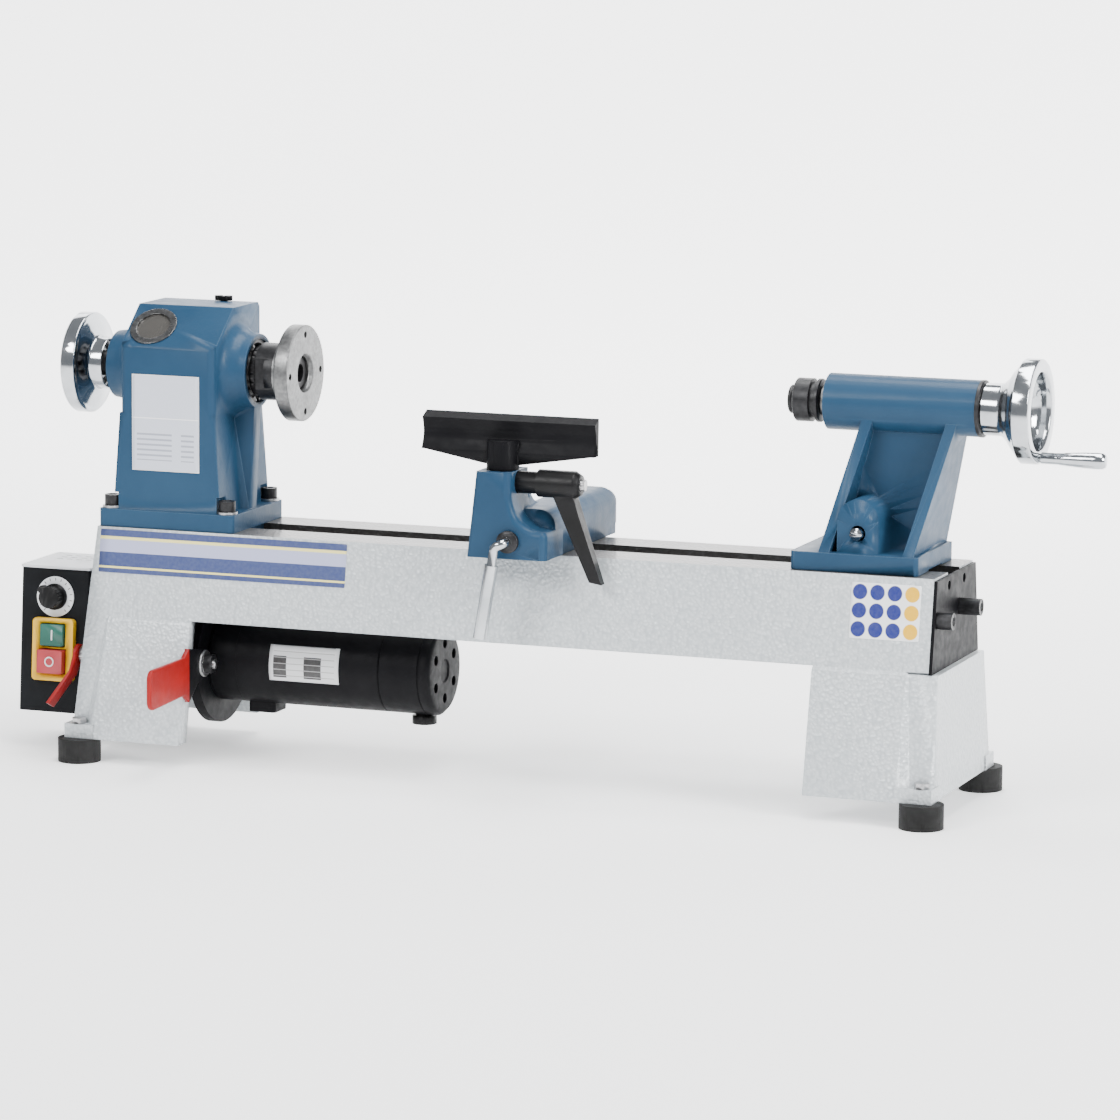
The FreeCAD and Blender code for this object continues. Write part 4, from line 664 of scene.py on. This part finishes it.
def wrapped_label(name, x0, x1, radius, angle0, angle1, body):
    """A patch on a cylinder about the motor's axis: x along, angle from the front (-Y) up."""
    x = np.linspace(x0, x1, 20)
    a = np.radians(np.linspace(angle0, angle1, 24))
    aa, xx = np.meshgrid(a, x, indexing="ij")
    grid = np.stack([xx, -radius * np.cos(aa), 96 + radius * np.sin(aa)], -1)
    piece = grid_piece(name, place(grid), body, heights=np.linspace(0, 1, 24))
    flip_to_front(piece)
    wall = piece.modifiers.new("thickness", "SOLIDIFY")
    wall.thickness = 0.25 * MM
    wall.offset = 1.0
    return piece


motor_label = wrapped_label("motor_label", -252, -179, 43.55, -18, 29, "motor")
motor_label.data.materials.append(MOTOR_PRINT)

# %% [markdown]
# The dial round the speed knob has a scale of fine marks. They are one mesh of small raised
# bars: the four corners of a bar are turned through each mark's angle in one array step. The
# panel leans back, so the flat scale is turned by the same lean.

# %% Dial marks
PANEL_LEAN = math.atan2(10.0, 142.0)
PANEL_MIDDLE = np.array([-481.0, -47.0, 107.0])


def on_panel(points):
    """From an upright panel at the origin to the control box's leaning front."""
    p = np.asarray(points, dtype=float)
    c, s = math.cos(-PANEL_LEAN), math.sin(-PANEL_LEAN)
    y = p[..., 1] * c - p[..., 2] * s
    z = p[..., 1] * s + p[..., 2] * c
    return place(np.stack([p[..., 0], y, z], -1) + PANEL_MIDDLE)


def dial_marks(name, count, inner, outer, wide, finish):
    """Bars from inner to outer radius, spread over 280 degrees, each a closed low block."""
    a = np.radians(np.linspace(-140, 140, count))[:, None]
    r = np.array([inner, outer, outer, inner] * 2)[None]
    w = np.array([-wide, -wide, wide, wide] * 2)[None] / 2
    depth = np.repeat(np.array([-1.25, -0.95]), 4)[None] + 0 * a
    x = 0.5 + r * np.sin(a) + w * np.cos(a)
    z = 43.5 + r * np.cos(a) - w * np.sin(a)
    corners = on_panel(np.stack([x, depth, z], -1)).reshape(-1, 3)
    box = np.array([[0, 1, 2, 3], [7, 6, 5, 4], [0, 4, 5, 1], [1, 5, 6, 2], [2, 6, 7, 3], [3, 7, 4, 0]])
    faces = (np.arange(count)[:, None, None] * 8 + box[None]).reshape(-1, 4)
    mesh = bpy.data.meshes.new(name)
    mesh.from_pydata(corners, [], faces)
    work = bmesh.new()
    work.from_mesh(mesh)
    bmesh.ops.recalc_face_normals(work, faces=work.faces)
    work.to_mesh(mesh)
    work.free()
    mesh.materials.append(finish)
    piece = bpy.data.objects.new(name, mesh)
    bpy.context.scene.collection.objects.link(piece)
    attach(piece, "stand")
    return piece


BLACK_INK = coating("black_ink", (0.02, 0.02, 0.02), (0.04, 0.04, 0.04), (0.4, 0.5), 900, 0.00005)
marks = dial_marks("dial_marks", 15, 16.0, 18.6, 0.7, BLACK_INK)

# %% [markdown]
# The two keys carry the usual power marks: an upright bar for on and a ring for off. Each is a
# band between two outlines. The outline is a superellipse, x = a |cos t|^(2/n) and z = b |sin t|^(2/n)
# with the signs kept, which is a circle for n = 2 and nearly a rectangle for n = 8.

# %% Marks on the keys


def key_mark(name, half_width, half_height, n, hollow, at, face, body):
    """A raised band from hollow times the outline out to the outline, closed all round."""
    t = np.linspace(0, 2 * math.pi, 64, endpoint=False)
    x = half_width * np.sign(np.cos(t)) * np.abs(np.cos(t)) ** (2 / n)
    z = half_height * np.sign(np.sin(t)) * np.abs(np.sin(t)) ** (2 / n)
    scale = np.array([hollow, hollow, 1.0, 1.0])[:, None]
    depth = face + np.array([0.1, -0.25, -0.25, 0.1])[:, None] + 0 * t
    grid = on_panel(np.stack([at[0] + scale * x, depth, at[1] + scale * z], -1))
    mark = grid_piece(name, grid, body, wrap_u=True, wrap_v=True)
    mark.data.materials.append(WHITE_INK)
    return mark


WHITE_INK = coating("white_ink", (0.66, 0.66, 0.66), (0.80, 0.80, 0.79), (0.4, 0.5), 900, 0.00005)
key_mark("start_mark", 0.8, 5.2, 8, 0.0, (1.5, 6.0), -9.5, "start_key")
key_mark("stop_mark", 5.0, 5.0, 2, 0.74, (1.5, -20.0), -14.0, "stop_key")
print("key marks on")

# %% [markdown]
# The setting. A pale floor runs back and curves up into a wall, so there is no horizon line. Soft
# lamps stand to the left, right and above, as in a product studio. The paper also glows, more
# strongly further back: painted light that makes the backdrop bright.

# %% Floor, lamps and camera


def sweep_floor():
    """A floor that turns up at the back: along the depth the height is a quarter circle."""
    s = np.linspace(0, 1, 60)
    depth = np.where(s < 0.5, -6 + 16 * s, 2 + 2.2 * np.sin((s - 0.5) * math.pi))
    height = np.where(s < 0.5, 0.0, 2.2 * (1 - np.cos((s - 0.5) * math.pi)))
    x = np.linspace(-7, 7, 30)
    across = np.repeat(x[None], 60, 0)
    grid = np.stack([across, np.repeat(depth[:, None], 30, 1), np.repeat(height[:, None], 30, 1)], -1)
    mesh = bpy.data.meshes.new("studio_floor")
    rr, cc = np.meshgrid(np.arange(59), np.arange(29), indexing="ij")
    first = rr * 30 + cc
    faces = np.stack([first, first + 1, first + 31, first + 30], -1).reshape(-1, 4)
    mesh.from_pydata(grid.reshape(-1, 3), [], faces)
    mesh.shade_smooth()
    floor = bpy.data.objects.new("studio_floor", mesh)
    bpy.context.scene.collection.objects.link(floor)
    paper = new_finish("glowing_studio_paper", (0.92, 0.92, 0.92), roughness=0.8, shine=0.2)
    # Painted light: the paper glows, faintly near the lathe and more brightly further back.
    shader_of(paper).inputs["Emission Color"].default_value = (1, 1, 1, 1)
    far = node(paper, "ShaderNodeSeparateXYZ")
    join(paper, object_place(paper), far.inputs["Vector"])
    glow = span(paper, far.outputs["Y"], 0.55, 3.0, 0.2, 2.6)
    join(paper, glow, shader_of(paper).inputs["Emission Strength"])
    mesh.materials.append(paper)


def lamp(name, at, to, size, power):
    """A square soft lamp that points from one place to another."""
    data = bpy.data.lights.new(name, "AREA")
    data.shape = "RECTANGLE"
    data.size, data.size_y = size
    data.energy = power
    made = bpy.data.objects.new(name, data)
    made.location = at
    made.rotation_euler = (Vector(to) - Vector(at)).to_track_quat("-Z", "Y").to_euler()
    bpy.context.scene.collection.objects.link(made)


def set_camera(eye, target, roll, lens):
    """A camera whose picture is turned by roll: its right and up are mixed by sine and cosine."""
    back = (Vector(eye) - Vector(target)).normalized()
    right = Vector((0, 0, 1)).cross(back).normalized()
    up = back.cross(right)
    r = right * math.cos(roll) + up * math.sin(roll)
    u = up * math.cos(roll) - right * math.sin(roll)
    data = bpy.data.cameras.new("camera")
    data.lens = lens
    data.sensor_width = 36.0
    data.clip_end = 60.0
    made = bpy.data.objects.new("camera", data)
    made.matrix_world = Matrix(((r.x, u.x, back.x, eye[0]), (r.y, u.y, back.y, eye[1]),
                                (r.z, u.z, back.z, eye[2]), (0, 0, 0, 1)))
    bpy.context.scene.collection.objects.link(made)
    bpy.context.scene.camera = made


sweep_floor()
lamp("key", (-1.4, -2.9, 2.5), (0, 0, 0.2), (1.6, 1.2), 120)
lamp("right", (3.0, -1.0, 1.7), (0, 0, 0.2), (1.2, 1.2), 130)
lamp("top", (0.2, 0.1, 3.0), (0, 0, 0.2), (3.0, 1.0), 150)
lamp("rim", (-1.2, 2.0, 1.8), (0, 0, 0.3), (2.0, 0.8), 30)
world = bpy.data.worlds.new("studio")
world.use_nodes = True
world.node_tree.nodes["Background"].inputs["Color"].default_value = (0.92, 0.95, 1.0, 1)
world.node_tree.nodes["Background"].inputs["Strength"].default_value = 0.42
bpy.context.scene.world = world
set_camera((1.7529, -4.6987, 0.9953), (0.0081, 0.0327, 0.212), math.radians(0.45), 171.0)
